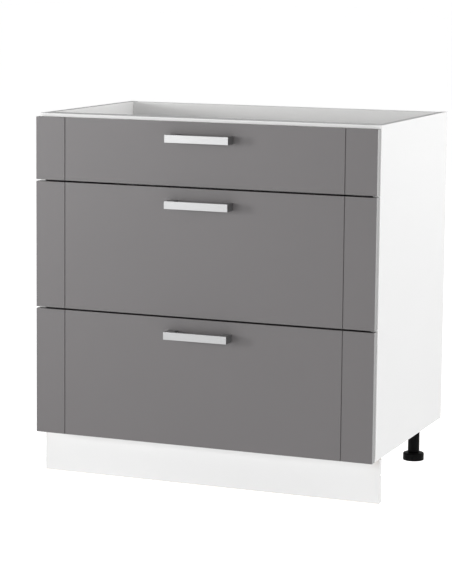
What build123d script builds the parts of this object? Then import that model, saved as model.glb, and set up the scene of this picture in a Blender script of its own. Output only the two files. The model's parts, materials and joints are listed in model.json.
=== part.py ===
from build123d import *
from math import cos, pi
import os

# A kitchen base cabinet with three drawers on roller runners, standing on four levelling legs.
# X runs to the right as seen from the front, Y towards the wall, Z up from the floor.
# The origin is on the floor, under the middle of the cabinet. All sizes are in millimetres.

# Cabinet as a whole
cabinet_width = 800.0
cabinet_height = 820.0
cabinet_depth = 520.0  # from the faces of the drawer fronts to the rear edges of the sides
floor_clearance = 100.0  # from the floor to the underside of the carcass

# Carcass boards
board = 16.0
hardboard = 3.0
back_inset = 10.0  # from the rear edges of the sides to the hardboard
back_groove_depth = 8.0
back_groove_play = 0.2
back_edge_play = 1.0
front_rail_depth = 45.0
rear_rail_height = 100.0
worktop_hole_radius = 2.5
worktop_hole_inset = 84.0  # from each end of the front rail

# Cam fittings and dowels that hold the boards together
cam_radius = 7.5
cam_depth = 12.5
cam_reach = 24.0  # from the end of a board to the centre of its cam
cam_bolt_radius = 3.0
dowel_radius = 4.0
dowel_length = 30.0
dowel_flutes = 6
joint_bore_depth = 10.0  # into the side panels
cam_sides = 8
panel_joint_inset = 140.0
panel_dowel_spacing = 32.0
rail_joint_inset = 14.0
rail_dowel_spacing = 20.0

# Drawer fronts
front_thickness = 18.0
front_standoff = 2.0
front_reveal = 1.5  # at each side of a front
front_gap = 4.0
front_drop = 1.0  # of the lowest front below the underside of the carcass
front_edge_chamfer = 1.0
top_front_height = 140.0
top_front_drop = 7.0  # of its upper edge below the top of the cabinet
groove_inset = 71.0
groove_width = 2.4
groove_depth = 1.6
bumper_radius = 4.0
bumper_thickness = 1.8
bumper_sides = 6
bumper_drop = 24.0  # from the upper edge of a front

# Bow handles
handle_length = 148.0
handle_height = 17.0
handle_projection = 32.0
handle_bar = 8.0
handle_leg = 20.0
handle_inner_radius = 4.0
handle_hole_spacing = 128.0
handle_drop = 35.0  # from the upper edge of a front to the middle of its handle

# Steel drawer sides and their runners
sheet = 1.2
drawer_rear_gap = 23.0  # between the rear of the drawers and the upright rear rail
drawer_overlap = 100.0  # the length of a drawer that stays in its runners
tall_side_height = 150.0
drawer_headroom = 18.0  # between the sides of the top drawer and the front rail
runner_rise = 27.0  # from the lower edge of a front to the underside of its runners
side_gap = 12.7  # between a side panel and the drawer side
side_floor_flange = 14.0
side_hem = 6.0
side_hem_drop = 4.5
track_edge_play = 2.4  # between the track flange and the side panel
track_play = 1.0  # between the track flange and the channel below it
channel_play = 1.0  # between the channel and the drawer side
channel_lip = 3.5
runner_setback = 3.0
side_tab = 14.0
side_tab_inset = 4.0
back_below_hem = 3.0
drawer_board_play = 0.2

# Rollers
roller_radius = 9.0
roller_width = 7.0
roller_sides = 20
roller_play = 0.3
roller_side_play = 0.4
roller_end_play = 0.1
axle_radius = 2.5
axle_play = 0.05
collar_radius = 4.0
hub_sides = 8  # of the roller's bore, the collar and the rivet's head
rivet_head = 0.8
front_roller_inset = 12.0
rear_roller_inset = 22.0
stop_height = 8.0
stop_width = 5.0
stop_play = 0.5

# Brackets between the drawer sides and the fronts
bracket_sheet = 1.5
bracket_length = 40.0
bracket_foot = 15.0
bracket_lift = 9.0  # above the drawer bottom
bracket_drop = 11.8  # below the upper edge of the drawer side

# Screws
fastener_sides = 6
screw_radius = 1.75
screw_length = 15.0
screw_head_radius = 3.4
screw_hole_play = 0.25
handle_screw_radius = 2.0
handle_screw_grip = 7.0  # into the handle
handle_screw_head_radius = 4.0
handle_screw_head_height = 2.4
runner_screw_front_inset = 45.0
runner_screw_rear_inset = 53.0
floor_screw_front_inset = 90.0
floor_screw_rear_inset = 80.0
tab_screw_inset = 14.0
tab_screw_spacing = 50.0  # at least, between two screws in one tab
bracket_screw_inset = 10.0

# Levelling legs
leg_side_inset = 57.0
leg_rear_inset = 27.0
leg_radius = 13.5
leg_sides = 24
foot_radius = 24.5
foot_sides = 24
foot_height = 17.0
foot_chamfer = 2.0
foot_gap = 0.5
stud_radius = 5.0
stud_sides = 8
stud_length = 34.0
stud_play = 0.05
socket_plate = 4.0
socket_width = 54.0
socket_rear = 20.0
socket_front = 34.0
socket_corner = 8.0
socket_sides = 8
socket_ring_wall = 3.0
socket_ring_depth = 14.0
socket_fit = 0.05
socket_screw_side = 19.0
socket_screw_offset = 22.0  # forward of the leg

# Plinth
plinth_setback = 50.0  # behind the faces of the drawer fronts
plinth_floor_gap = 1.0
plinth_top_gap = 2.0
plinth_leg_gap = 2.0
clip_height = 16.0
clip_middle = 62.0
clip_wall = 2.5
clip_play = 0.3
clip_base_width = 44.0
clip_base = 3.0
clip_neck = 14.0
clip_tongue = 4.0
clip_tongue_depth = 8.0

# Places worked out from the sizes
half_width = cabinet_width / 2
inner_half_width = half_width - board
rear_y = (cabinet_depth + handle_projection) / 2
face_y = rear_y - cabinet_depth
front_back_y = face_y + front_thickness
carcass_y = front_back_y + front_standoff
back_panel_y = rear_y - back_inset - hardboard
rear_rail_y = back_panel_y - board
rail_underside_z = cabinet_height - board
floor_top_z = floor_clearance + board
drawer_names = ("bottom", "middle", "top")

lowest_front_z = floor_clearance - front_drop
highest_front_z = cabinet_height - top_front_drop
tall_fronts_height = highest_front_z - lowest_front_z - top_front_height - 2 * front_gap
tall_front_height = tall_fronts_height / 2
front_heights = {"bottom": tall_front_height, "middle": tall_front_height, "top": top_front_height}

drawer_rear_y = rear_rail_y - drawer_rear_gap
drawer_length = drawer_rear_y - front_back_y
drawer_travel = drawer_length - drawer_overlap
channel_depth = side_gap - channel_play
channel_height = 2 * (sheet + roller_radius + roller_play)
track_z = channel_height + track_play
rear_roller_z = sheet + roller_play + roller_radius
front_roller_z = track_z - roller_play - roller_radius
runner_front_y = carcass_y + runner_setback
front_roller_y = runner_front_y + front_roller_inset
rear_roller_y = drawer_rear_y - rear_roller_inset
roller_inboard = channel_depth - sheet - roller_side_play
roller_outboard = roller_inboard - roller_width
drawer_half_width = inner_half_width - side_gap - sheet - drawer_board_play
drawer_board_rear_y = drawer_rear_y - sheet

leg_x = half_width - leg_side_inset
rear_leg_y = rear_y - leg_rear_inset
plinth_back_y = face_y + plinth_setback + board
front_leg_y = plinth_back_y + plinth_leg_gap + foot_radius
tube_bottom_z = foot_height + foot_gap
tube_top_z = floor_clearance - socket_plate


def front_bottom(name):
    """Height of the lower edge of a drawer front."""
    below = drawer_names[: drawer_names.index(name)]
    return lowest_front_z + sum(front_heights[lower] + front_gap for lower in below)


def front_top(name):
    """Height of the upper edge of a drawer front."""
    return front_bottom(name) + front_heights[name]


def runner_bottom(name):
    """Height of the underside of a drawer's runners."""
    return front_bottom(name) + runner_rise


def side_height(name):
    """Height of a drawer's steel sides: those of the top drawer stay clear of the front rail."""
    if name == drawer_names[-1]:
        return rail_underside_z - drawer_headroom - runner_bottom(name)
    return tall_side_height


def inboard(distance):
    """X of the plane this far inboard of the right side panel's inner face."""
    return inner_half_width - distance


def block(x_range, y_range, z_range):
    """A board or strip between two limits along each axis."""
    (x_low, x_high), (y_low, y_high), (z_low, z_high) = x_range, y_range, z_range
    size = Box(x_high - x_low, y_high - y_low, z_high - z_low)
    return Pos((x_low + x_high) / 2, (y_low + y_high) / 2, (z_low + z_high) / 2) * size


def aim(shape, point, direction):
    """A shape drawn along Z from the origin, set at a point and turned to a direction."""
    return Plane(origin=point, z_dir=direction) * shape


def rod(radius, length):
    """A round bar along Z, standing on the origin."""
    return Cylinder(radius, length, align=(Align.CENTER, Align.CENTER, Align.MIN))


def flat_sided_rod(radius, length, sides):
    """A bar with flat sides along Z, standing on the origin; the radius is to its corners."""
    return extrude(RegularPolygon(radius, sides), length)


def crosswise(shape, start, y, z):
    """A shape drawn along Z, laid along X from a distance inboard of the right side panel."""
    return aim(shape, (inboard(start), y, z), (-1, 0, 0))


def mirrored(shape):
    """The same shape on the left of the cabinet."""
    return mirror(shape, about=Plane.YZ)


def both_sides(shapes):
    """The shapes and their mirror images."""
    return shapes + [mirrored(shape) for shape in shapes]


def group(shapes):
    """Separate solids that are kept together."""
    return Compound([solid for shape in shapes for solid in shape.solids()])


def chipboard_screw():
    """A countersunk chipboard screw, its head flush with the origin and its point up."""
    cone_depth = (screw_head_radius - screw_radius) * cos(pi / fastener_sides)
    head = extrude(RegularPolygon(screw_head_radius, fastener_sides), cone_depth, taper=45)
    return head + flat_sided_rod(screw_radius, screw_length, fastener_sides)


def handle_screw():
    """A machine screw through a drawer front, its head seated on the origin."""
    head = flat_sided_rod(handle_screw_head_radius, handle_screw_head_height, fastener_sides)
    length = front_thickness + handle_screw_grip
    shank = flat_sided_rod(handle_screw_radius, length, fastener_sides)
    return Pos(0, 0, -handle_screw_head_height) * head + shank


# Carcass


def carcass_joints():
    """The right-hand cam joints: each bolt's Y and Z, its cam's direction, and the dowel's Y and Z."""
    floor_z = floor_clearance + board / 2
    rail_z = cabinet_height - board / 2
    rear_rail_middle = rear_rail_y + board / 2
    front_edge = carcass_y + panel_joint_inset
    rear_edge = back_panel_y - panel_joint_inset
    rail_bolt_y = carcass_y + rail_joint_inset
    rear_bolt_z = cabinet_height - rear_rail_height / 2
    up, back = (0, 0, 1), (0, 1, 0)
    return [
        ((front_edge, floor_z), up, (front_edge + panel_dowel_spacing, floor_z)),
        ((rear_edge, floor_z), up, (rear_edge - panel_dowel_spacing, floor_z)),
        ((rail_bolt_y, rail_z), up, (rail_bolt_y + rail_dowel_spacing, rail_z)),
        (
            (rear_rail_middle, rear_bolt_z),
            back,
            (rear_rail_middle, rear_bolt_z - panel_dowel_spacing),
        ),
    ]


def cam_bolts():
    """Steel bolts from the side panels into the cams."""
    length = joint_bore_depth + cam_reach
    start_x = inner_half_width + joint_bore_depth
    bolt = flat_sided_rod(cam_bolt_radius, length, dowel_flutes)
    return [aim(bolt, (start_x, y, z), (-1, 0, 0)) for (y, z), _, _ in carcass_joints()]


def cam_pockets():
    """The bore that each cam fills, from the surface of its board."""
    pockets = []
    bore = flat_sided_rod(cam_radius, cam_depth, cam_sides)
    for (y, z), direction, _ in carcass_joints():
        surface = Vector(inboard(cam_reach), y, z) - Vector(direction) * (board / 2)
        pockets.append(aim(bore, surface, direction))
    return pockets


def cam_locks():
    """Cams let into the boards, each with its bolt's end inside it."""
    return [cam - bolt for cam, bolt in zip(cam_pockets(), cam_bolts())]


def dowels():
    """Fluted wooden dowels beside the bolts."""
    start_x = inner_half_width + joint_bore_depth
    dowel = flat_sided_rod(dowel_radius, dowel_length, dowel_flutes)
    return [aim(dowel, (start_x, y, z), (-1, 0, 0)) for _, _, (y, z) in carcass_joints()]


def joint_cutters():
    """All that is bored out of the boards on both sides for their joints."""
    return both_sides(cam_pockets() + cam_bolts() + dowels())


def side_panel():
    """The right side panel, with its groove for the back and its bores."""
    z_range = (floor_clearance, cabinet_height)
    panel = block((inner_half_width, half_width), (carcass_y, rear_y), z_range)
    groove = block(
        (inner_half_width, inner_half_width + back_groove_depth),
        (back_panel_y - back_groove_play, back_panel_y + hardboard + back_groove_play),
        z_range,
    )
    return panel - [groove] - cam_bolts() - dowels() - runner_screws()


def bottom_panel():
    """The board between the sides that closes the carcass below."""
    panel = block(
        (-inner_half_width, inner_half_width),
        (carcass_y, back_panel_y),
        (floor_clearance, floor_top_z),
    )
    return panel - joint_cutters() - both_sides(socket_screws())


def front_top_rail():
    """The flat rail under the front of the worktop, with the holes for its screws."""
    rail = block(
        (-inner_half_width, inner_half_width),
        (carcass_y, carcass_y + front_rail_depth),
        (rail_underside_z, cabinet_height),
    )
    hole_x = inner_half_width - worktop_hole_inset
    hole_y = carcass_y + front_rail_depth / 2
    hole = Pos(hole_x, hole_y, rail_underside_z) * rod(worktop_hole_radius, board)
    return rail - joint_cutters() - both_sides([hole])


def rear_top_rail():
    """The upright rail in front of the back."""
    rail = block(
        (-inner_half_width, inner_half_width),
        (rear_rail_y, back_panel_y),
        (cabinet_height - rear_rail_height, cabinet_height),
    )
    return rail - joint_cutters()


def back_panel():
    """The hardboard back in its grooves."""
    half = inner_half_width + back_groove_depth - back_edge_play
    return block(
        (-half, half),
        (back_panel_y, back_panel_y + hardboard),
        (floor_clearance + back_edge_play, cabinet_height - back_edge_play),
    )


def bumpers():
    """Soft pads on the right side panel's front edge, one behind each drawer front."""
    pad = flat_sided_rod(bumper_radius, bumper_thickness, bumper_sides)
    x = half_width - board / 2
    heights = [front_top(name) - bumper_drop for name in drawer_names]
    return [aim(pad, (x, carcass_y, z), (0, -1, 0)) for z in heights]


# Runners


def sheet_section(points):
    """The section of a folded steel sheet in the XZ plane, along its centre line."""
    return Plane.XZ * trace(Polyline(*points), sheet)


def drawn_back(section, start_y, end_y):
    """A section drawn towards the rear between two Y planes."""
    return Pos(0, start_y, 0) * extrude(section, end_y - start_y, dir=(0, 1, 0))


def roller_rivet(web, near, far):
    """A riveted axle along Z from the origin: collar, shaft and head, for a roller between
    two distances inboard of the sheet that carries it."""
    collar_length = abs(near - web) - roller_end_play
    head_start = abs(far - web) + roller_end_play
    shaft = rod(axle_radius, head_start)
    collar = flat_sided_rod(collar_radius, collar_length, hub_sides)
    head = flat_sided_rod(collar_radius, rivet_head, hub_sides)
    return shaft + collar + Pos(0, 0, head_start) * head


def runner():
    """A right-hand runner with its underside at height zero: a channel open towards the drawer."""
    near, far = inboard(sheet / 2), inboard(channel_depth - sheet / 2)
    low, high = sheet / 2, channel_height - sheet / 2
    path = [
        (far, channel_height - channel_lip),
        (far, high),
        (near, high),
        (near, low),
        (far, low),
        (far, channel_lip),
    ]
    channel = drawn_back(sheet_section(path), runner_front_y, runner_front_y + drawer_length)
    roller_window = block(
        (inboard(side_gap), inboard(sheet)),
        (runner_front_y - 1, front_roller_y + roller_radius + channel_lip),
        (channel_height / 2, 2 * channel_height),
    )
    tab_rear_y = rear_roller_y - drawer_travel - roller_radius - stop_play
    tab_middle = (roller_inboard + roller_outboard) / 2
    stop_tab = block(
        (inboard(tab_middle + stop_width / 2), inboard(tab_middle - stop_width / 2)),
        (tab_rear_y - sheet, tab_rear_y),
        (sheet / 2, sheet + stop_height),
    )
    axle = roller_rivet(sheet, roller_outboard, roller_inboard)
    rivet = crosswise(axle, sheet, front_roller_y, front_roller_z)
    return channel - roller_window + stop_tab + rivet - runner_screw_row(0)


def runner_screw_row(bottom_z):
    """The screws of one right-hand runner, flush with the inside of its channel."""
    z = bottom_z + channel_height / 2
    insets = (runner_screw_front_inset, drawer_length - runner_screw_rear_inset)
    points = [(inboard(sheet), runner_front_y + inset, z) for inset in insets]
    return [aim(chipboard_screw(), point, (1, 0, 0)) for point in points]


def runner_screws():
    """The screws of all right-hand runners."""
    return [screw for name in drawer_names for screw in runner_screw_row(runner_bottom(name))]


def runners():
    """The right-hand runners of all drawers."""
    return [Pos(0, 0, runner_bottom(name)) * runner() for name in drawer_names]


def roller(y, z):
    """A nylon roller on an axle along X, on the right."""
    tread = flat_sided_rod(roller_radius, roller_width, roller_sides)
    bore_radius = (axle_radius + axle_play) / cos(pi / hub_sides)
    bore = flat_sided_rod(bore_radius, roller_width, hub_sides)
    return crosswise(tread - bore, roller_outboard, y, z)


def front_roller(name):
    """The roller at the front of a right-hand runner, which carries the drawer side."""
    return roller(front_roller_y, runner_bottom(name) + front_roller_z)


def rear_roller(name):
    """The roller at the rear of a right-hand drawer side, which runs in the channel."""
    return roller(rear_roller_y, runner_bottom(name) + rear_roller_z)


# Drawers


def drawer_side(name):
    """A right-hand steel drawer side, with its track flange, rear tab and roller axle."""
    height = side_height(name)
    web = inboard(side_gap + sheet / 2)
    hem = inboard(side_gap + side_hem - sheet / 2)
    path = [
        (inboard(side_gap + side_floor_flange), sheet / 2),
        (web, sheet / 2),
        (web, height - sheet / 2),
        (hem, height - sheet / 2),
        (hem, height - side_hem_drop),
    ]
    side = drawn_back(sheet_section(path), front_back_y, drawer_rear_y)
    track = block(
        (inboard(side_gap + sheet / 2), inboard(track_edge_play)),
        (front_back_y, drawer_rear_y),
        (track_z, track_z + sheet),
    )
    tab = block(
        (inboard(side_gap + side_tab), web),
        (drawer_board_rear_y, drawer_rear_y),
        (sheet + board + side_tab_inset, height - side_hem_drop - side_tab_inset),
    )
    axle = roller_rivet(side_gap, roller_inboard, roller_outboard)
    rivet = aim(axle, (inboard(side_gap), rear_roller_y, rear_roller_z), (1, 0, 0))
    blank = Pos(0, 0, runner_bottom(name)) * (side + track + tab + rivet)
    return blank - [aim(chipboard_screw(), *seat) for seat in side_screw_seats(name)]


def tab_screw_heights(name):
    """Heights of the screws through the rear tab of a drawer side: two where they fit."""
    base = runner_bottom(name) + sheet + board + side_tab_inset
    top = runner_bottom(name) + side_height(name) - side_hem_drop - side_tab_inset
    if top - base < tab_screw_spacing + 2 * tab_screw_inset:
        return [(base + top) / 2]
    return [base + tab_screw_inset, top - tab_screw_inset]


def side_screw_seats(name):
    """Where the screws through a right-hand drawer side seat, and which way they point."""
    floor_x = inboard(side_gap + sheet + (side_floor_flange - sheet) / 2)
    tab_x = inboard(side_gap + sheet + (side_tab - sheet) / 2)
    floor_z = runner_bottom(name)
    floor_ys = (front_back_y + floor_screw_front_inset, drawer_rear_y - floor_screw_rear_inset)
    floor_seats = [((floor_x, y, floor_z), (0, 0, 1)) for y in floor_ys]
    tab_seats = [((tab_x, drawer_rear_y, z), (0, -1, 0)) for z in tab_screw_heights(name)]
    return floor_seats + tab_seats


def bracket_range(name):
    """Height range of a drawer's front brackets."""
    low = runner_bottom(name) + sheet + board + bracket_lift
    return low, runner_bottom(name) + side_height(name) - bracket_drop


def bracket_screw_seats(name):
    """Where the screws of a right-hand front bracket seat, and which way they point."""
    x = inboard(side_gap + sheet + bracket_sheet + (bracket_foot - bracket_sheet) / 2)
    low, high = bracket_range(name)
    heights = (low + bracket_screw_inset, high - bracket_screw_inset)
    return [((x, front_back_y + bracket_sheet, z), (0, -1, 0)) for z in heights]


def front_bracket(name):
    """A right-hand angle bracket that joins a drawer side to its front."""
    plate_x = inboard(side_gap + sheet + bracket_sheet)
    z_range = bracket_range(name)
    plate = block(
        (plate_x, inboard(side_gap + sheet)),
        (front_back_y, front_back_y + bracket_length),
        z_range,
    )
    foot = block(
        (plate_x - bracket_foot + bracket_sheet, plate_x),
        (front_back_y, front_back_y + bracket_sheet),
        z_range,
    )
    return plate + foot - [aim(chipboard_screw(), *seat) for seat in bracket_screw_seats(name)]


def drawer_screws(name):
    """The chipboard screws on the right of a drawer."""
    seats = side_screw_seats(name) + bracket_screw_seats(name)
    return [aim(chipboard_screw(), *seat) for seat in seats]


def handle_screws(name):
    """The two machine screws of a handle."""
    z = front_top(name) - handle_drop
    half = handle_hole_spacing / 2
    return [aim(handle_screw(), (x, front_back_y, z), (0, -1, 0)) for x in (-half, half)]


def drawer_front(name):
    """A drawer front with two upright V-grooves in its face."""
    half = half_width - front_reveal
    z_range = (front_bottom(name), front_top(name))
    slab = block((-half, half), (face_y, front_back_y), z_range)
    face_edges = slab.faces().sort_by(Axis.Y)[0].edges()
    slab = chamfer(face_edges, front_edge_chamfer)
    notch = make_face(
        Polyline(
            (-groove_width / 2, 0),
            (0, groove_depth),
            (groove_width / 2, 0),
            close=True,
        )
    )
    groove = Pos(half - groove_inset, face_y, z_range[0]) * extrude(notch, front_heights[name])
    z = front_top(name) - handle_drop
    reach = handle_hole_spacing / 2
    hole_radius = handle_screw_radius + screw_hole_play
    drilled = flat_sided_rod(hole_radius, front_thickness, fastener_sides)
    holes = [aim(drilled, (x, front_back_y, z), (0, -1, 0)) for x in (-reach, reach)]
    return slab - both_sides([groove] + drawer_screws(name)) - holes


def handle(name):
    """A bow handle: a flat bar on two square legs, rounded where a finger goes in."""
    bow = Rectangle(handle_length, handle_projection, align=(Align.CENTER, Align.MAX))
    opening = Rectangle(
        handle_length - 2 * handle_leg,
        handle_projection - handle_bar,
        align=(Align.CENTER, Align.MAX),
    )
    inner_corners = opening.vertices().group_by(Axis.Y)[0]
    outline = bow - fillet(inner_corners, handle_inner_radius)
    z = front_top(name) - handle_drop
    bar = Pos(0, face_y, z - handle_height / 2) * extrude(outline, handle_height)
    return bar - handle_screws(name)


def drawer_bottom(name):
    """The board that lies on the floor flanges of the drawer sides."""
    low = runner_bottom(name) + sheet
    panel = block(
        (-drawer_half_width, drawer_half_width),
        (front_back_y, drawer_board_rear_y),
        (low, low + board),
    )
    return panel - both_sides(drawer_screws(name))


def drawer_back(name):
    """The board that stands on the drawer bottom, in front of the rear tabs."""
    low = runner_bottom(name) + sheet + board
    high = runner_bottom(name) + side_height(name) - side_hem_drop - back_below_hem
    panel = block(
        (-drawer_half_width, drawer_half_width),
        (drawer_board_rear_y - board, drawer_board_rear_y),
        (low, high),
    )
    return panel - both_sides(drawer_screws(name))


# Legs and plinth


def leg_socket():
    """A plate with a ring for the leg tube, its centre at the origin, its long end forward."""
    length = socket_rear + socket_front
    blank = Rectangle(socket_width, length)
    trimmed = chamfer(blank.vertices(), socket_corner)
    outline = Pos(0, (socket_rear - socket_front) / 2) * trimmed
    bore_radius = (leg_radius + socket_fit) / cos(pi / socket_sides)
    plate = Pos(0, 0, tube_top_z) * extrude(outline, socket_plate)
    ring_z = tube_top_z - socket_ring_depth
    ring_radius = bore_radius + socket_ring_wall
    ring = Pos(0, 0, ring_z) * flat_sided_rod(ring_radius, socket_ring_depth, socket_sides)
    hollow = Pos(0, 0, ring_z) * flat_sided_rod(bore_radius, socket_ring_depth, socket_sides)
    return plate + ring - hollow - socket_screw_set()


def socket_screw_set():
    """The two screws that hold a leg socket, its centre at the origin."""
    screw = Pos(socket_screw_side, -socket_screw_offset, tube_top_z) * chipboard_screw()
    return both_sides([screw])


def leg_tube():
    """A leg with a bore for the foot's stud in its lower end."""
    tube = flat_sided_rod(leg_radius, tube_top_z - tube_bottom_z, leg_sides)
    bore_radius = (stud_radius + stud_play) / cos(pi / stud_sides)
    bore = flat_sided_rod(bore_radius, stud_length, stud_sides)
    return Pos(0, 0, tube_bottom_z) * (tube - bore)


def leg_foot():
    """A round foot with the stud that screws into its tube."""
    pad = flat_sided_rod(foot_radius, foot_height, foot_sides)
    pad = chamfer(pad.faces().sort_by(Axis.Z)[-1].edges(), foot_chamfer)
    return pad + Pos(0, 0, foot_height) * flat_sided_rod(stud_radius, stud_length, stud_sides)


def at_leg(shape, place):
    """A leg piece at a front or rear leg on the right; front pieces are turned about."""
    if place == "rear":
        return Pos(leg_x, rear_leg_y, 0) * shape
    return Pos(leg_x, front_leg_y, 0) * Rot(0, 0, 180) * shape


def leg_pair(shape):
    """A leg piece at both legs on the right."""
    return [at_leg(shape, "front"), at_leg(shape, "rear")]


def socket_screws():
    """The screws of both sockets on the right."""
    return [at_leg(screw, place) for screw in socket_screw_set() for place in ("front", "rear")]


def clip_groove_range():
    """Height range of the groove along the back of the plinth board."""
    return clip_middle - clip_tongue / 2, clip_middle + clip_tongue / 2


def plinth_board():
    """The board that hides the front legs, with a groove for its clips."""
    height_range = (plinth_floor_gap, floor_clearance - plinth_top_gap)
    panel = block((-half_width, half_width), (plinth_back_y - board, plinth_back_y), height_range)
    groove_y = (plinth_back_y - clip_tongue_depth, plinth_back_y)
    return panel - block((-half_width, half_width), groove_y, clip_groove_range())


def plinth_clip():
    """A fork that grips the right front leg, with a tongue pressed into the plinth's groove."""
    inner = leg_radius + clip_play
    outer = inner + clip_wall
    reach = front_leg_y - plinth_back_y
    fork = Circle(outer) + Rectangle(2 * outer, outer, align=(Align.CENTER, Align.MIN))
    neck = Pos(0, -reach) * Rectangle(clip_neck, reach, align=(Align.CENTER, Align.MIN))
    base = Pos(0, -reach) * Rectangle(clip_base_width, clip_base, align=(Align.CENTER, Align.MIN))
    mouth = Circle(inner) + Rectangle(2 * inner, outer, align=(Align.CENTER, Align.MIN))
    outline = fork + neck + base - mouth
    low_z = clip_middle - clip_height / 2
    body = Pos(leg_x, front_leg_y, low_z) * extrude(outline, clip_height)
    tongue = block(
        (leg_x - clip_base_width / 2, leg_x + clip_base_width / 2),
        (plinth_back_y - clip_tongue_depth, plinth_back_y),
        clip_groove_range(),
    )
    return body + tongue


def carcass_nodes():
    """Everything that stays still, by name."""
    right_panel = side_panel()
    sockets = leg_pair(leg_socket())
    tubes = leg_pair(leg_tube())
    return {
        "side_panel_right": right_panel,
        "side_panel_left": mirrored(right_panel),
        "bottom_panel": bottom_panel(),
        "front_top_rail": front_top_rail(),
        "rear_top_rail": rear_top_rail(),
        "back_panel": back_panel(),
        "cam_locks": group(both_sides(cam_locks())),
        "cam_bolts": group(both_sides(cam_bolts())),
        "dowels": group(both_sides(dowels())),
        "carcass_screws": group(both_sides(runner_screws() + socket_screws())),
        "front_bumpers": group(both_sides(bumpers())),
        "runners_right": group(runners()),
        "runners_left": group([mirrored(rail) for rail in runners()]),
        "leg_sockets": group(both_sides(sockets)),
        "leg_tubes": group(both_sides(tubes)),
    }


def drawer_nodes(name):
    """The pieces of one drawer and its rollers, by name."""
    side = drawer_side(name)
    return {
        f"front_{name}": drawer_front(name),
        f"handle_{name}": handle(name),
        f"handle_screws_{name}": group(handle_screws(name)),
        f"drawer_bottom_{name}": drawer_bottom(name),
        f"drawer_back_{name}": drawer_back(name),
        f"drawer_side_right_{name}": side,
        f"drawer_side_left_{name}": mirrored(side),
        f"front_brackets_{name}": group(both_sides([front_bracket(name)])),
        f"drawer_screws_{name}": group(both_sides(drawer_screws(name))),
        f"front_roller_right_{name}": front_roller(name),
        f"front_roller_left_{name}": mirrored(front_roller(name)),
        f"rear_roller_right_{name}": rear_roller(name),
        f"rear_roller_left_{name}": mirrored(rear_roller(name)),
    }


def leg_and_plinth_nodes():
    """The feet and the plinth, by name."""
    feet = {}
    for place in ("front", "rear"):
        foot = at_leg(leg_foot(), place)
        feet[f"foot_{place}_right"] = foot
        feet[f"foot_{place}_left"] = mirrored(foot)
    return {
        **feet,
        "plinth_board": plinth_board(),
        "plinth_clips": group(both_sides([plinth_clip()])),
    }


nodes = carcass_nodes()
for drawer in drawer_names:
    nodes.update(drawer_nodes(drawer))
nodes.update(leg_and_plinth_nodes())

os.makedirs("parts", exist_ok=True)
for node, shape in nodes.items():
    export_step(shape, f"parts/{node}.step")
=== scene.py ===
import json
from math import cos, pi, radians, sin

import bmesh
import bpy
from bpy.props import FloatProperty, FloatVectorProperty, PointerProperty
from mathutils import Matrix, Vector


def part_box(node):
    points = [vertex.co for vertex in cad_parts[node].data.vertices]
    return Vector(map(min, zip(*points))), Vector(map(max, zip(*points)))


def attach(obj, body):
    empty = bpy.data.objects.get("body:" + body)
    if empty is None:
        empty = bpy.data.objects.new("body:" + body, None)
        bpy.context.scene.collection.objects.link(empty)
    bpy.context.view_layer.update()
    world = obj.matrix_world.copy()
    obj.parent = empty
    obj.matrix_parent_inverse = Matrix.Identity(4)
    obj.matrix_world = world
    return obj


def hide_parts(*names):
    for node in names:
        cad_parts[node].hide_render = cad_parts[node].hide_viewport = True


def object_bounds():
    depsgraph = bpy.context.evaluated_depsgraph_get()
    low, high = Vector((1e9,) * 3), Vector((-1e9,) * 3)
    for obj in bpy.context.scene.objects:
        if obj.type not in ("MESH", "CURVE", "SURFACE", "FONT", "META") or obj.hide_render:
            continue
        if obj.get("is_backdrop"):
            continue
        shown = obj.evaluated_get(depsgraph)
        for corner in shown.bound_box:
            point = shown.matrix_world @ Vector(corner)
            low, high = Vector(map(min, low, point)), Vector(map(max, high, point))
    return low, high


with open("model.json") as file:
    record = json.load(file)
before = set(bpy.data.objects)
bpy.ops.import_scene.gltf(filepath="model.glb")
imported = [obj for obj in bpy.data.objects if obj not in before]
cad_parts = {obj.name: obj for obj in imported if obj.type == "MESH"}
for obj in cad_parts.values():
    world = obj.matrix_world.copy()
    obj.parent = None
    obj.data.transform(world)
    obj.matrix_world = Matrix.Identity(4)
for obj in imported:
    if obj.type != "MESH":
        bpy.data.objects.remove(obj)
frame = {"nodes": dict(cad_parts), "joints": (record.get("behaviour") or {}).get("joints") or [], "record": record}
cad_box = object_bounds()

bl_info = {
    "name": "Drawer Cabinet Dressing",
    "version": (1, 0, 0),
    "blender": (4, 5, 0),
    "location": "View3D > Sidebar > Cabinet",
    "description": "Dresses the packed kitchen cabinet: boards, fronts, steel drawers and fittings",
    "category": "Object",
}

DRAWERS = ("bottom", "middle", "top")
SIDES = {"right": 1, "left": -1}
PLACES = ("front", "rear")
RIGHT, LEFT, UP, DOWN = (1, 0, 0), (-1, 0, 0), (0, 0, 1), (0, 0, -1)
FORWARD, REARWARD = (0, -1, 0), (0, 1, 0)
# The boards' finishes: one white made brighter as painted light, bare chipboard, and the same white darkened as
# painted shade; OUTER adds another darkened copy.
BOARD_FINISHES = ("white_lacquer", "bare_chipboard", "white_melamine")
BARE, TOP, OUTER = 1, 2, 3  # places in the list of a board's finishes
PICTURE_HEIGHT = 584  # pixels
WELD = 1e-6
SMOOTH = 35  # degrees up to which neighbouring faces are shaded as one
FACING = 0.999  # least share of a normal that points the way asked for

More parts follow.
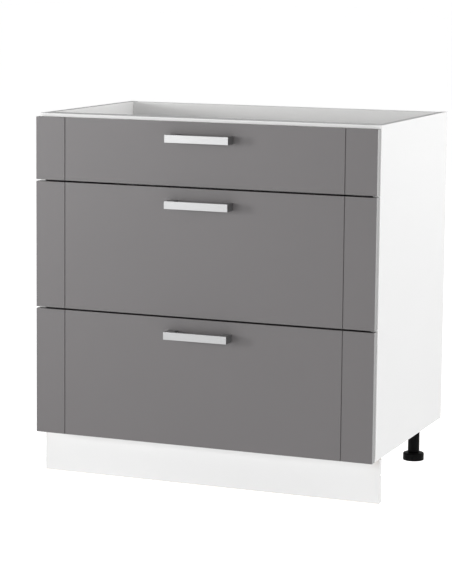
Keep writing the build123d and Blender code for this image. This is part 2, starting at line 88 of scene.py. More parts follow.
# Lengths in metres that a user would leave as they are
BACK_PLAY, BACK_END_PLAY = 0.0002, 0.0010  # between the back and its groove, and at its end
PIN_EASE, DOWEL_EASE = 0.0006, 0.0010  # chamfers of the cam bolts and the dowels
TAB_INSET = 0.004  # from the ends of a drawer side to its rear tab
TRACK_PLAY = 0.0024  # from the edge of a drawer's track to the side panel
STOP_HEIGHT, STOP_WIDTH, STOP_PLAY = 0.008, 0.005, 0.0005  # the stop in a runner
AXLE_PLAY, ROLLER_PLAY = 0.00005, 0.0001  # round an axle, and at each end of its roller
BRACKET_BEND = 0.0012  # radius of the fold of a bracket, to its middle
SCREW_PITCH, BOLT_PITCH, STUD_PITCH = 0.0016, 0.0007, 0.0015  # rise of a thread in one turn
SOCKET_EASE, GUSSET_HALF = 0.0006, 0.0009  # rounding of a leg's plate, half a gusset's thickness
FOOT_PLAY, FOOT_HOLLOW, STUD_BORE = 0.0005, 0.0004, 0.0053  # foot to tube, under a foot, its bore


# Places read from the frame


def limits(points):
    """The lowest and highest corner of some points."""
    return [Vector(pick(point[i] for point in points) for i in range(3)) for pick in (min, max)]


def middle(box):
    """The middle of a box, given as its two corners."""
    return (box[0] + box[1]) / 2


def cad_bm(node):
    """The mesh of a CAD node, welded."""
    bm = joined([frame["nodes"][node].data])
    bmesh.ops.remove_doubles(bm, verts=bm.verts, dist=WELD)
    return bm


def solids_of(node):
    """The corner points of each separate solid in a CAD node, in a steady order."""
    bm = cad_bm(node)
    waiting = set(bm.verts)
    solids = []
    while waiting:
        reached = [waiting.pop()]
        solid = []
        while reached:
            vert = reached.pop()
            solid.append(vert.co.copy())
            near = {edge.other_vert(vert) for edge in vert.link_edges} & waiting
            waiting -= near
            reached.extend(near)
        solids.append(solid)
    bm.free()
    return sorted(solids, key=lambda solid: [round(value, 5) for value in sum(limits(solid), Vector())])


def seat_of(solid):
    """Where the head of a screw lies and the way that it points, from its corner points."""
    low, high = limits(solid)
    axis = max(range(3), key=lambda i: (high - low)[i])
    head, way = middle((low, high)), Vector()

    def breadth(end):
        """How far the points at one end reach from the axis."""
        flat = [point - head for point in solid if abs(point[axis] - end) < WELD]
        for point in flat:
            point[axis] = 0
        return max(point.length for point in flat)

    narrow, broad = sorted((low[axis], high[axis]), key=breadth)
    head[axis] = broad
    way[axis] = 1 if broad < narrow else -1
    return head, way


def mount(name):
    """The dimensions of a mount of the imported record, in millimetres."""
    return next(each["dims"] for each in frame["record"]["mounts"] if each["name"] == name)


side_low, side_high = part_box("side_panel_right")
back_low, back_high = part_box("back_panel")
inner_x, outer_x = side_low.x, side_high.x
travels = {joint["child"]: joint["range_m"][1] for joint in frame["joints"] if "range_m" in joint}


# Sizes, colours and the studio, as a user would change them


def labelled(group):
    """Labels each property of a group with its own name, in plain words."""
    for name, prop in group.__annotations__.items():
        prop.keywords["name"] = name.replace("_", " ").capitalize()
    return group


def length(about, default):
    """A length in metres."""
    return FloatProperty(description=about, default=default, min=0, unit="LENGTH", subtype="DISTANCE")


def colour(about, *default):
    """A colour."""
    return FloatVectorProperty(description=about, default=default, size=3, min=0, max=1, subtype="COLOR")


def number(about, default):
    """A plain number."""
    return FloatProperty(description=about, default=default)


def power(about, default):
    """The power of a lamp in watts."""
    return FloatProperty(description=about, default=default, unit="POWER")


def angle(about, degrees):
    """An angle, given in degrees."""
    return FloatProperty(description=about, default=radians(degrees), subtype="ANGLE")


@labelled
class CabinetSizes(bpy.types.PropertyGroup):
    """Lengths of the finished pieces."""

    board_ease: length("Rounding of the edges of the boards", 0.0005)
    sheet_ease: length("Rounding of cut sheets and clips", 0.0003)
    front_ease: length("Rounding round the face of a front", 0.0010)
    groove_inset: length("From the side of a front to its groove", 0.071)
    groove_width: length("Width of a groove in a front", 0.0024)
    groove_depth: length("Depth of a groove in a front", 0.0016)
    handle_bar: length("Thickness of the bar of a handle", 0.008)
    handle_leg: length("Width of each leg of a handle", 0.020)
    handle_corner: length("Inner corner radius of a handle", 0.004)
    handle_ease: length("Rounding of the edges of a handle", 0.0003)
    sheet: length("Thickness of the drawer steel", 0.0012)
    bend: length("Radius of its folds, to the middle", 0.0014)
    side_gap: length("From a side panel to the drawer side", 0.0127)
    floor_flange: length("Width of the flange under a drawer bottom", 0.014)
    hem: length("Width of the folded upper edge of a drawer side", 0.006)
    hem_drop: length("Height of that folded edge", 0.0045)
    bead_height: length("Height of the bead in a drawer side", 0.010)
    bead_depth: length("Depth of the bead in a drawer side", 0.0016)
    track_height: length("From a runner's underside to the track above it", 0.0220)
    channel_depth: length("Depth of a runner's channel", 0.0117)
    channel_height: length("Height of a runner's channel", 0.0210)
    channel_lip: length("Height of the lips of that channel", 0.0035)
    axle: length("Radius of the roller axles", 0.0025)
    rivet: length("Radius of the rivet heads and collars", 0.0040)
    rivet_head: length("Thickness of the rivet heads", 0.0008)
    bracket_sheet: length("Thickness of the front brackets", 0.0015)
    screw_head: length("Radius of the heads of the wood screws", 0.0034)
    screw_shank: length("Radius of the wood screws", 0.00175)
    bolt_head: length("Height of the heads of the handle screws", 0.0024)
    bolt_shank: length("Radius of the handle screws", 0.0020)
    socket_clip: length("Clipped corners of a leg socket", 0.008)
    socket_wall: length("Wall of a leg socket round its tube", 0.003)
    gusset: length("Reach of the gussets of a leg socket", 0.0072)
    leg_ease: length("Rounding of the lower edges of sockets and tubes", 0.0008)
    foot_round: length("Rounding of the upper edge of a foot", 0.0030)
    foot_under: length("Rounding of the lower edge of a foot", 0.0012)
    stud: length("Radius of the levelling stud", 0.0050)
    plinth_groove: length("Height of the groove for the clips", 0.060)
    plinth_groove_width: length("Width of the groove for the clips", 0.004)
    plinth_groove_depth: length("Depth of the groove for the clips", 0.008)


@labelled
class CabinetColours(bpy.types.PropertyGroup):
    """Base colours of the finishes."""

    # Painted shade: this white is the boards' white darkened, for their upward faces and the rears of the fronts.
    white: colour("Top edges and hidden faces of the boards", 0.55, 0.55, 0.55)
    # Painted shade: this white is the boards' white darkened, for the outer faces of the side panels and the
    # plinth.
    outer: colour("Outer faces of the side panels and plinth", 0.64, 0.64, 0.64)
    # Painted light: this white is the boards' white made brighter, for their inner faces, front edges and the face
    # of the back.
    lacquer: colour("Inner faces and front edges of the boards", 0.88, 0.88, 0.875)
    grey: colour("Foil of the drawer fronts", 0.101, 0.0945, 0.0965)
    # Painted light: the fronts' grey made paler for their upright edges, where the side light falls.
    foil_edge: colour("Upright edges of the drawer fronts", 0.25, 0.25, 0.25)
    metal: colour("Satin metal of the handles", 0.40, 0.402, 0.405)
    steel: colour("Epoxy coat of the drawer steel", 0.80, 0.80, 0.79)
    zinc: colour("Plated screws and cams", 0.62, 0.64, 0.68)
    black: colour("Legs and clips", 0.0015, 0.0015, 0.0016)
    nylon: colour("Rollers", 0.82, 0.82, 0.79)
    chips: colour("Bare edges of the boards", 0.50, 0.36, 0.22)
    fibre: colour("Bare rear of the back", 0.25, 0.145, 0.075)
    beech: colour("Dowels", 0.58, 0.40, 0.24)


@labelled
class CabinetStudio(bpy.types.PropertyGroup):
    """The light and the camera."""

    sky: number("Brightness of the walls of light", 1.02)
    overhead: number("Brightness straight above", 0.345)
    floor_glow: number("Light of the floor", 0.62)
    side_light: power("Power of the light high on the right", 108)
    rear_light: power("Power of the light behind on the right", 65)
    gloss_light: power("Power of the light that the fronts mirror", 44)
    fill_light: power("Power of the light far to the left", 135)
    focal_length: number("Focal length in pixels of the picture", 2123.3)
    centre_row: number("Row of the picture that the lens looks at", 233.6)
    turn: angle("How far the camera is turned to the left of straight ahead", 21.777)
    tilt: angle("How far the camera looks down", 7.086)
    roll: angle("How far the camera leans to the right", 0.549)
    eye: FloatVectorProperty(
        description="Where the camera stands", size=3, subtype="TRANSLATION",
        default=(1.7469, -4.4691, 1.1410)
    )


def sizes():
    """The lengths set in the scene."""
    return bpy.context.scene.cabinet_sizes


# Node trees


def arithmetic(operation, reflected=False):
    """An operator of wires, as a Math node; a reflected one has the wire on its right."""

    def operator(wire, value):
        pair = (value, wire) if reflected else (wire, value)
        return wire.nodes.add("ShaderNodeMath", *pair, operation=operation)

    return operator


class Wire:
    """An output in a node tree. Sums, differences, products and quotients add Math nodes."""

    __add__, __radd__ = arithmetic("ADD"), arithmetic("ADD", reflected=True)
    __sub__, __rsub__ = arithmetic("SUBTRACT"), arithmetic("SUBTRACT", reflected=True)
    __mul__, __rmul__ = arithmetic("MULTIPLY"), arithmetic("MULTIPLY", reflected=True)
    __truediv__, __rtruediv__ = arithmetic("DIVIDE"), arithmetic("DIVIDE", reflected=True)

    def __init__(self, nodes, socket):
        self.nodes = nodes
        self.socket = socket

    def other(self, name):
        """Another output of the same node."""
        return Wire(self.nodes, self.socket.node.outputs[name])


def socket_name(word):
    """The name of a node's input, from a keyword."""
    return word.replace("_", " ").title().replace("Ior", "IOR")


class Nodes:
    """A node tree under construction."""

    def __init__(self, tree):
        self.tree = tree
        tree.nodes.clear()

    def add(self, kind, *values, at=(), output=0, **named):
        """A node. Values go to its inputs in turn or at their places; a keyword names an input or
        else a setting. Settings come first, since they can bring inputs. An input takes a value, a
        wire or a list of wires."""
        node = self.tree.nodes.new(kind)
        inputs = {**dict(enumerate(values)), **dict(at)}
        for word, value in named.items():
            if socket_name(word) in node.inputs:
                inputs[socket_name(word)] = value
            else:
                setattr(node, word, value)
        for key, value in inputs.items():
            for each in value if isinstance(value, list) else [value]:
                if isinstance(each, Wire):
                    self.tree.links.new(each.socket, node.inputs[key])
                else:
                    node.inputs[key].default_value = each
        return Wire(self, node.outputs[output]) if node.outputs else None


class Finish(Nodes):
    """A material under construction, with patterns in object coordinates."""

    def __init__(self, name):
        self.material = bpy.data.materials.new(name)
        self.material.use_nodes = True
        super().__init__(self.material.node_tree)
        self.where = self.add("ShaderNodeTexCoord", output="Object")

    def noise(self, scale, detail=2.0, stretch=None, roughness=0.5):
        """A noise between 0 and 1, in coordinates that may be scaled along each axis."""
        where = self.add("ShaderNodeMapping", vector=self.where, scale=stretch) if stretch else self.where
        return self.add("ShaderNodeTexNoise", vector=where, scale=scale, detail=detail, roughness=roughness)

    def ranged(self, value, low, high):
        """A value between 0 and 1, spread from low to high."""
        return value * (high - low) + low

    def step(self, value, low, high):
        """A smooth step from 0 at low to 1 at high."""
        return self.add(
            "ShaderNodeMapRange", value, low, high, interpolation_type="SMOOTHSTEP", clamp=True
        )

    def mixed(self, factor, first, second):
        """Two colours mixed by a factor."""
        return self.add(
            "ShaderNodeMix", at={0: factor, 6: first, 7: second}, output=2, data_type="RGBA"
        )

    def shaded(self, factor, base, spread):
        """A colour that varies by a share of itself, darker at 0 and lighter at 1."""
        return self.mixed(factor, tinted(base, 1 - spread), tinted(base, 1 + spread))

    def bump(self, height, distance, strength):
        """The surface's normal, with small relief."""
        return self.add("ShaderNodeBump", height=height, distance=distance, strength=strength)

    def done(self, base, roughness, **inputs):
        """The finished material, from its colour, its roughness and the shader's other inputs."""
        shader = self.add("ShaderNodeBsdfPrincipled", base_color=base, roughness=roughness, **inputs)
        self.add("ShaderNodeOutputMaterial", shader)
        return self.material


def tinted(base, factor):
    """A colour made lighter or darker, with full alpha."""
    return (*[min(1.0, channel * factor) for channel in base[:3]], 1.0)


def finish(name):
    """The material of this name, built when it is first asked for."""
    return bpy.data.materials.get(name) or FINISHES[name](bpy.context.scene.cabinet_colours)


# Finishes


def skin(name, base, spread, clouds, grain, rough, bump, fleck=0, mottle=0, **constants):
    """One colour with soft clouds and a fine grain.

    The clouds shade the colour by the spread, with a share of grain where it is mottled, and
    take the roughness through its range. The grain gives the relief, and flecks of roughness.
    """
    made = Finish(name)
    cloud, fine = made.noise(*clouds), made.noise(*grain)
    shade = cloud * (1 - mottle) + fine * mottle if mottle else cloud
    roughness = made.ranged(cloud, *rough)
    if fleck:
        roughness = roughness + made.ranged(fine, -fleck, fleck)
    relief = made.bump(fine, *bump)
    return made.done(made.shaded(shade, base, spread), roughness, normal=relief, **constants)


def melamine(name, base, shine):
    """Melamine paper on chipboard: a fine pearl, a little unevenness in the sheen."""
    return skin(
        name, base, 0.012, clouds=(9, 3), grain=(1400, 2), rough=(0.48, 0.56), fleck=0.03,
        bump=(0.00003, 0.5), specular_ior_level=shine,
    )


def white_melamine(colours):
    """White melamine darkened as painted shade, as on the top edges of the boards and behind the fronts."""
    return melamine("white_melamine", colours.white, 0.3)


def outer_melamine(colours):
    """White melamine darkened as painted shade, as on the outside of the side panels."""
    return melamine("outer_melamine", colours.outer, 0.1)


def white_lacquer(colours):
    """A white face made brighter as painted light, as inside the cabinet and on the front edges of its boards."""
    return skin(
        "white_lacquer", colours.lacquer, 0.012, clouds=(11, 3), grain=(700, 2), rough=(0.42, 0.50),
        bump=(0.00004, 0.5), specular_ior_level=0.3,
    )


def grey_foil(colours):
    """Matt grey foil, drawn over fibreboard."""
    made = Finish("grey_foil")
    clouds, grain, orange_peel = made.noise(6, 3), made.noise(2200, 3), made.noise(320, 2)
    base = made.shaded(clouds * 0.6 + grain * 0.4, colours.grey, 0.03)
    roughness = made.ranged(clouds, 0.34, 0.40) + made.ranged(grain, -0.03, 0.03)
    relief = made.bump(grain * 0.3 + orange_peel * 0.7, 0.00004, 0.5)
    return made.done(base, roughness, normal=relief, specular_ior_level=0.65)


def edge_foil(colours):
    """The same foil, made paler on the upright edges as painted light."""
    return skin(
        "edge_foil", colours.foil_edge, 0.03, clouds=(30, 3), grain=(2200, 3), rough=(0.44, 0.50),
        mottle=0.4, bump=(0.00003, 0.5), specular_ior_level=0.25,
    )


def brushed_metal(colours):
    """Satin metal, brushed along the handle."""
    made = Finish("brushed_metal")
    strokes = made.noise(1, 4, (35, 2600, 2600), 0.65)
    roughness = made.ranged(strokes, 0.24, 0.36) + made.ranged(made.noise(40, 2), -0.02, 0.02)
    base = made.shaded(strokes, colours.metal, 0.03)
    return made.done(base, roughness, normal=made.bump(strokes, 0.00001, 0.5), metallic=1.0)


def coated_steel(colours):
    """White epoxy coat on steel, with a fine orange peel."""
    return skin(
        "coated_steel", colours.steel, 0.015, clouds=(14, 2), grain=(520, 2), rough=(0.30, 0.38),
        bump=(0.00008, 0.6), coat_weight=0.15,
    )


def zinc_plate(colours):
    """Bright zinc plate with a faint warm and cool bloom."""
    made = Finish("zinc_plate")
    bloom, grain = made.noise(180, 3), made.noise(2600, 2)
    red, green, blue = colours.zinc
    warm = tinted((red * 1.06, green, blue * 0.86), 1)
    base = made.mixed(made.step(bloom, 0.35, 0.7), tinted(colours.zinc, 1.02), warm)
    roughness = made.ranged(bloom, 0.26, 0.40) + made.ranged(grain, -0.03, 0.03)
    return made.done(base, roughness, normal=made.bump(grain, 0.00002, 0.5), metallic=1.0)


def cast_zinc(colours):
    """Bare zinc casting: dull, with a fine cast skin."""
    return skin(
        "cast_zinc", tinted(colours.zinc, 0.86), 0.06, clouds=(260, 2), grain=(1500, 4),
        rough=(0.45, 0.60), bump=(0.00006, 0.6), metallic=1.0,
    )


def moulded_plastic(colours):
    """Black moulded plastic with a fine spark-eroded grain."""
    return skin(
        "moulded_plastic", colours.black, 0.10, clouds=(30, 2), grain=(1700, 3), rough=(0.46, 0.54),
        fleck=0.04, bump=(0.00003, 0.5), specular_ior_level=0.05,
    )


def white_nylon(colours):
    """Natural nylon, slightly milky."""
    return skin(
        "white_nylon", colours.nylon, 0.02, clouds=(60, 2), grain=(1800, 2), rough=(0.30, 0.38),
        bump=(0.00002, 0.4), subsurface_weight=0.15, subsurface_scale=0.003,
    )


def clear_pad(colours):
    """A clear soft pad, slightly clouded."""
    return skin(
        "clear_pad", colours.nylon, 0.03, clouds=(500, 2), grain=(500, 2), rough=(0.12, 0.22),
        bump=(0.00002, 0.3), transmission_weight=0.35,
    )


def bare_chipboard(colours):
    """The cut edge of chipboard: flakes, fine dust and spots of resin at random."""
    made = Finish("bare_chipboard")
    flake_edges = made.add("ShaderNodeTexVoronoi", vector=made.where, scale=420, output="Distance")
    dust, resin = made.noise(1500, 4), made.noise(120, 3)
    light, plain, dark = (tinted(colours.chips, factor) for factor in (1.35, 0.9, 0.55))
    base = made.mixed(made.step(flake_edges, 0.2, 0.9), light, plain)
    base = made.mixed(made.step(dust, 0.52, 0.72) * 0.7, base, dark)
    base = made.mixed(made.step(resin, 0.6, 0.8) * 0.4, base, dark)
    relief = made.noise(900, 4) * 0.6 + made.step(flake_edges.other("Color"), 0.2, 0.8) * 0.4
    return made.done(base, made.ranged(dust, 0.75, 0.92), normal=made.bump(relief, 0.0003, 0.7))


def hardboard_rear(colours):
    """The bare side of hardboard, with the print of the press screen."""
    made = Finish("hardboard_rear")
    screen_pitch = 0.0019
    fibres = made.noise(1, 5, (260, 260, 700), 0.6)
    across = made.add("ShaderNodeSeparateXYZ", made.where, output="X")
    ripples = [
        made.add("ShaderNodeMath", axis * (2 * pi / screen_pitch), operation="SINE")
        for axis in (across, across.other("Z"))
    ]
    weave = ripples[0] * ripples[1] * 0.5 + 0.5
    dark, plain, light = (tinted(colours.fibre, factor) for factor in (0.72, 0.8, 1.3))
    base = made.mixed(made.noise(7, 3) * 0.35, made.mixed(fibres, dark, light), plain)
    relief = made.bump(weave * 0.7 + fibres * 0.3, 0.0002, 0.6)
    return made.done(base, made.ranged(fibres, 0.62, 0.80), normal=relief)


def beech_wood(colours):
    """Beech turned along the dowel, with short dark flecks."""
    made = Finish("beech_wood")
    grain = made.noise(1, 4, (60, 1400, 1400), 0.6)
    flecks = made.step(made.noise(1, 2, (420, 2600, 2600)), 0.62, 0.74) * 0.6
    base = made.mixed(flecks, made.shaded(grain, colours.beech, 0.12), tinted(colours.beech, 0.5))
    return made.done(base, made.ranged(grain, 0.55, 0.70), normal=made.bump(grain, 0.00006, 0.6))


FINISHES = {
    maker.__name__: maker
    for maker in (
        white_melamine, outer_melamine, white_lacquer, grey_foil, edge_foil, brushed_metal, coated_steel,
        zinc_plate, cast_zinc, moulded_plastic, white_nylon, clear_pad, bare_chipboard, hardboard_rear,
        beech_wood,
    )
}


# Meshes


def put(name, data):
    """A new object in the scene, at the origin."""
    made = bpy.data.objects.new(name, data)
    bpy.context.scene.collection.objects.link(made)
    return made


def mesh_of(bm, smooth=None):
    """A mesh with its faces outwards, shaded smooth up to an angle where one is given."""
    bmesh.ops.remove_doubles(bm, verts=bm.verts, dist=WELD)
    bmesh.ops.recalc_face_normals(bm, faces=bm.faces)
    mesh = bpy.data.meshes.new("piece")
    bm.to_mesh(mesh)
    bm.free()
    if smooth is not None:
        mesh.shade_smooth()
        mesh.set_sharp_from_angle(angle=radians(smooth))
    return mesh


def add_piece(name, mesh, finishes, body, slot, node):
    """A finished piece that rides on its body and stands for a CAD node."""
    mesh.name = name
    if not mesh.materials:
        for each in finishes:
            mesh.materials.append(finish(each))
    piece = put(name, mesh)
    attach(piece, body)
    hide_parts(node)


def joined(meshes):
    """Several meshes in one bmesh."""
    bm = bmesh.new()
    for mesh in meshes:
        bm.from_mesh(mesh)
    return bm


def box_bm(low, high):
    """A plain box between two corners."""
    low, high = Vector(low), Vector(high)
    bm = bmesh.new()
    bmesh.ops.create_cube(bm, size=1)
    for vert in bm.verts:
        vert.co = middle((low, high)) + vert.co * (high - low)
    return bm


def drawn_out(outline, run):
    """A prism: a closed outline of points, drawn along a vector."""
    bm = bmesh.new()
    face = bm.faces.new([bm.verts.new(point) for point in outline])
    drawn = bmesh.ops.extrude_face_region(bm, geom=[face])["geom"]
    moved = [item for item in drawn if isinstance(item, bmesh.types.BMVert)]
    bmesh.ops.translate(bm, verts=moved, vec=Vector(run))
    bmesh.ops.recalc_face_normals(bm, faces=bm.faces)
    return bm


def upright(outline, low, high):
    """A prism on a level outline, from one height to another."""
    return drawn_out([(x, y, low) for x, y in outline], (0, 0, high - low))


def eased(bm, width, segments, wanted=None):
    """Rounds the edges that lie on the edges of the shape's own box, or those wanted."""
    box = limits([vert.co for vert in bm.verts])

    def on_box_edge(edge):
        """Whether the edge lies in two faces of the box."""
        flush = [
            all(abs(vert.co[i] - corner[i]) < WELD for vert in edge.verts)
            for i in range(3)
            for corner in box
        ]
        return sum(flush) >= 2

    edges = [edge for edge in bm.edges if (wanted or on_box_edge)(edge)]
    made = bmesh.ops.bevel(
        bm, geom=edges, offset=width, segments=segments, profile=0.5, affect="EDGES",
        clamp_overlap=True,
    )
    for face in made["faces"]:
        face.smooth = True
    return bm


def sharp(edge):
    """Whether two faces meet at this edge at more than 30 degrees."""
    return len(edge.link_faces) == 2 and edge.calc_face_angle() > radians(30)


def dress_faces(bm, ways):
    """Gives the flat faces that look one way the finish of that number; others get the first."""
    for face in bm.faces:
        face.material_index = 0
        for way, number_of_finish in ways.items():
            if face.normal.dot(Vector(way)) > FACING:
                face.material_index = number_of_finish
    return bm


def axis_matrix(start, way):
    """The placing of a shape drawn along Z: moved to a start and turned along a way."""
    turn = Vector(way).to_track_quat("Z", "Y").to_matrix().to_4x4()
    return Matrix.Translation(Vector(start)) @ turn


def bored(bm, bores):
    """Round holes cut into a shape; each bore is a start, an end and a radius."""
    cutters = bmesh.new()
    for start, end, radius in bores:
        start, end = Vector(start), Vector(end)
        bmesh.ops.create_cone(
            cutters, cap_ends=True, segments=48, radius1=radius, radius2=radius,
            depth=(end - start).length, matrix=axis_matrix(middle((start, end)), end - start),
        )
    body, tool = (put("bored", mesh_of(each)) for each in (bm, cutters))
    cut = body.modifiers.new("cut", "BOOLEAN")
    cut.object = tool
    cut.solver = "EXACT"
    made = plain_mesh(body)
    bpy.data.objects.remove(tool)
    return joined([made])


def plain_mesh(holder):
    """The mesh of an object with its modifiers applied; the object itself is removed."""
    evaluated = holder.evaluated_get(bpy.context.evaluated_depsgraph_get())
    made = bpy.data.meshes.new_from_object(evaluated)
    bpy.data.objects.remove(holder)
    return made


def turned(profile, start, way, segments=48):
    """A shape turned about an axis: its profile is radii and heights, from a start, along a way."""
    bm = bmesh.new()
    turns = [2 * pi * i / segments for i in range(segments)]
    rings = [
        [bm.verts.new((radius * cos(turn), radius * sin(turn), height)) for turn in turns[:count]]
        for radius, height, count in ((*point, segments if point[0] else 1) for point in profile)
    ]
    for lower, upper in zip(rings, rings[1:]):
        for i in range(segments):
            after = (i + 1) % segments
            corners = [
                lower[i % len(lower)], lower[after % len(lower)],
                upper[after % len(upper)], upper[i % len(upper)],
            ]
            corners = list(dict.fromkeys(corners))
            if len(corners) > 2:
                bm.faces.new(corners)
    bmesh.ops.transform(bm, verts=bm.verts, matrix=axis_matrix(start, way))
    return bm


def rounded(profile, corner, radius, steps):
    """The profile with one corner made round; the corner is its index."""
    before, at, after = (Vector(profile[corner + shift]) for shift in (-1, 0, 1))
    start = at + (before - at).normalized() * radius
    end = at + (after - at).normalized() * radius
    arc = []
    for step in range(steps + 1):
        t = step / steps
        arc.append(tuple(start * (1 - t) ** 2 + at * 2 * t * (1 - t) + end * t**2))
    return profile[:corner] + arc + profile[corner + 1:]


def mirrored(bm, side):
    """The same shape for the side asked for: drawn on the right, mirrored for the left."""
    if side == "left":
        bmesh.ops.scale(bm, vec=(-1, 1, 1), verts=bm.verts)
        bmesh.ops.reverse_faces(bm, faces=bm.faces)
    return bm


def under_middle(low, high):
    """The middle of a box's underside, and half its width: a turned piece's start and radius."""
    return (*middle((low, high)).xy, low.z), (high.x - low.x) / 2


# Geometry trees


class GeometryTree(Nodes):
    """A geometry tree under construction, with its named number and vector inputs as wires."""

    def __init__(self, name, *numbers, vectors=()):
        super().__init__(bpy.data.node_groups.new(name, "GeometryNodeTree"))
        kinds = {"Geometry": "Geometry", "Material": "Material"}
        kinds.update({label: "Float" for label in numbers})
        kinds.update({label: "Vector" for label in vectors})
        sockets = self.tree.interface
        for label, kind in kinds.items():
            sockets.new_socket(label, in_out="INPUT", socket_type=f"NodeSocket{kind}")
        sockets.new_socket("Geometry", in_out="OUTPUT", socket_type="NodeSocketGeometry")
        entry = self.add("NodeGroupInput")
        self.source, self.material = entry.other("Geometry"), entry.other("Material")
        self.wires = [entry.other(label) for label in (*numbers, *vectors)]

    def moved(self, geometry, **how):
        """Geometry moved, turned or scaled."""
        return self.add("GeometryNodeTransform", geometry, **how)

    def lifted(self, geometry, height):
        """Geometry moved up along Z."""
        return self.moved(geometry, translation=self.add("ShaderNodeCombineXYZ", z=height))

    def together(self, *parts):
        """Several geometries as one."""
        return self.add("GeometryNodeJoinGeometry", list(parts))

    def cut(self, geometry, tool):
        """Geometry less the tool's."""
        return self.add("GeometryNodeMeshBoolean", operation="DIFFERENCE", mesh_1=geometry, mesh_2=tool)

    def bar(self, lower, upper, start, height, vertices=24):
        """A round bar or cone along Z, from a start height."""
        shape = self.add(
            "GeometryNodeMeshCone", vertices=vertices, radius_bottom=lower, radius_top=upper,
            depth=height,
        )
        return self.lifted(shape, start)

    def crossed(self, head, width, depth):
        """A head with a cross recess sunk into its end at height zero."""
        for turn in (0, pi / 2):
            size = self.add("ShaderNodeCombineXYZ", width, width * 0.24, depth * 2.0)
            arm = self.add("GeometryNodeMeshCube", size)
            head = self.cut(head, self.moved(arm, rotation=(0, 0, turn)))
        return head

    def helix(self, radius, start, rise, pitch, ridge):
        """A thread's ridge: a spiral of small triangles from a start height."""
        spiral = self.add(
            "GeometryNodeCurveSpiral", resolution=16, rotations=rise / pitch, start_radius=radius,
            end_radius=radius, height=rise,
        )
        section = self.add("GeometryNodeCurvePrimitiveCircle", resolution=3, radius=ridge)
        return self.add(
            "GeometryNodeCurveToMesh", curve=self.lifted(spiral, start), profile_curve=section,
            fill_caps=True,
        )

    def on_points(self, *parts):
        """Ends the tree with a shape drawn along Z, on every point, turned to its facing."""
        facing = self.add("GeometryNodeInputNamedAttribute", data_type="FLOAT_VECTOR", name="facing")
        turn = self.add("FunctionNodeAlignRotationToVector", axis="Z", vector=facing)
        return self.done(self.add(
            "GeometryNodeInstanceOnPoints", points=self.source, instance=self.together(*parts),
            rotation=turn,
        ))

    def done(self, geometry):
        """Ends the tree: instances made real, and the finish set."""
        real = self.add("GeometryNodeRealizeInstances", geometry)
        dressed = self.add("GeometryNodeSetMaterial", geometry=real, material=self.material)
        self.add("NodeGroupOutput", dressed)
        return self.tree


def grown(plan, source, material, **values):
    """The plain mesh that a geometry tree makes of a source mesh; the plan builds the tree once."""
    tree = bpy.data.node_groups.get(plan.__name__) or plan(plan.__name__)
    holder = put(tree.name, source)
    modifier = holder.modifiers.new(tree.name, "NODES")
    modifier.node_group = tree
    values = {socket_name(word): value for word, value in values.items()}
    values["Material"] = finish(material)
    for item in tree.interface.items_tree:
        if item.in_out == "INPUT" and item.name in values:
            modifier[item.identifier] = values[item.name]
    made = plain_mesh(holder)
    if made.materials[0] is None:
        made.materials.pop(index=0)  # the empty place that shapes made in a tree bring along
    made.shade_smooth()
    made.set_sharp_from_angle(angle=radians(SMOOTH))
    return made


def folded_sheet(name):
    """Folds a line into rounded bends, draws it along a run and gives it a sheet's thickness."""
    tree = GeometryTree(name, "Thickness", "Bend Radius", vectors=["Run"])
    thickness, bend, run = tree.wires
    line = tree.add("GeometryNodeMeshToCurve", tree.source)
    bends = tree.add(
        "GeometryNodeFilletCurve", mode="POLY", curve=line, radius=bend, count=4, limit_radius=True
    )
    edges = tree.add("GeometryNodeCurveToMesh", bends)
    drawn = tree.add("GeometryNodeExtrudeMesh", edges, mode="EDGES", offset=run, offset_scale=1.0)
    outward = tree.add("GeometryNodeInputNormal")
    inward = tree.add("ShaderNodeVectorMath", outward, operation="SCALE", scale=thickness * -0.5)
    face = tree.add("GeometryNodeSetPosition", drawn, offset=inward)
    thick = tree.add(
        "GeometryNodeExtrudeMesh", face, mode="FACES", offset_scale=thickness, individual=False
    )
    whole = tree.together(thick, tree.add("GeometryNodeFlipFaces", face))
    return tree.done(tree.add("GeometryNodeMergeByDistance", whole, distance=WELD))


def wood_screws(name):
    """Countersunk wood screws on points: head with a cross recess, tapered shank and thread."""
    tree = GeometryTree(name, "Head Radius", "Shank Radius", "Length", "Thread Pitch")
    radius, shank, span, pitch = tree.wires
    cone_height = radius - shank
    cone = tree.bar(radius, shank, 0.0, cone_height)
    head = tree.crossed(cone, width=radius * 1.2, depth=radius * 0.4)
    rise = span - cone_height
    core = tree.bar(shank * 0.75, shank * 0.2, cone_height, rise, vertices=16)
    thread = tree.helix(shank * 0.72, cone_height, rise * 0.8, pitch, ridge=shank * 0.2)
    return tree.on_points(head, core, thread)


def machine_screws(name):
    """Pan-head machine screws on points: crown, rim, cross recess, then shank and thread."""
    tree = GeometryTree(name, "Head Radius", "Head Height", "Shank Radius", "Length", "Thread Pitch")
    radius, height, shank, span, pitch = tree.wires
    crown_height = height * 0.4
    rim = tree.bar(radius, radius, crown_height, height * 0.6, vertices=32)
    crown = tree.bar(radius * 0.78, radius, 0.0, crown_height, vertices=32)
    whole = tree.add("GeometryNodeMeshBoolean", operation="UNION", mesh_2=[rim, crown])
    head = tree.crossed(whole, width=radius * 1.1, depth=height * 0.55)
    rise = span - height
    core = tree.bar(shank * 0.86, shank * 0.86, height, rise, vertices=20)
    thread = tree.helix(shank * 0.84, height, rise, pitch, ridge=shank * 0.14)
    return tree.on_points(head, core, thread)


def cams(name):
    """Cams on points: a short cylinder with a raised rim and a cross recess in its face."""
    tree = GeometryTree(name, "Radius", "Depth")
    radius, depth = tree.wires
    body = tree.bar(radius, radius, 0.0, depth, vertices=40)
    dish = tree.bar(radius * 0.86, radius * 0.80, depth * -0.04, depth * 0.08, vertices=40)
    return tree.on_points(tree.crossed(tree.cut(body, dish), width=radius * 1.1, depth=depth * 0.3))


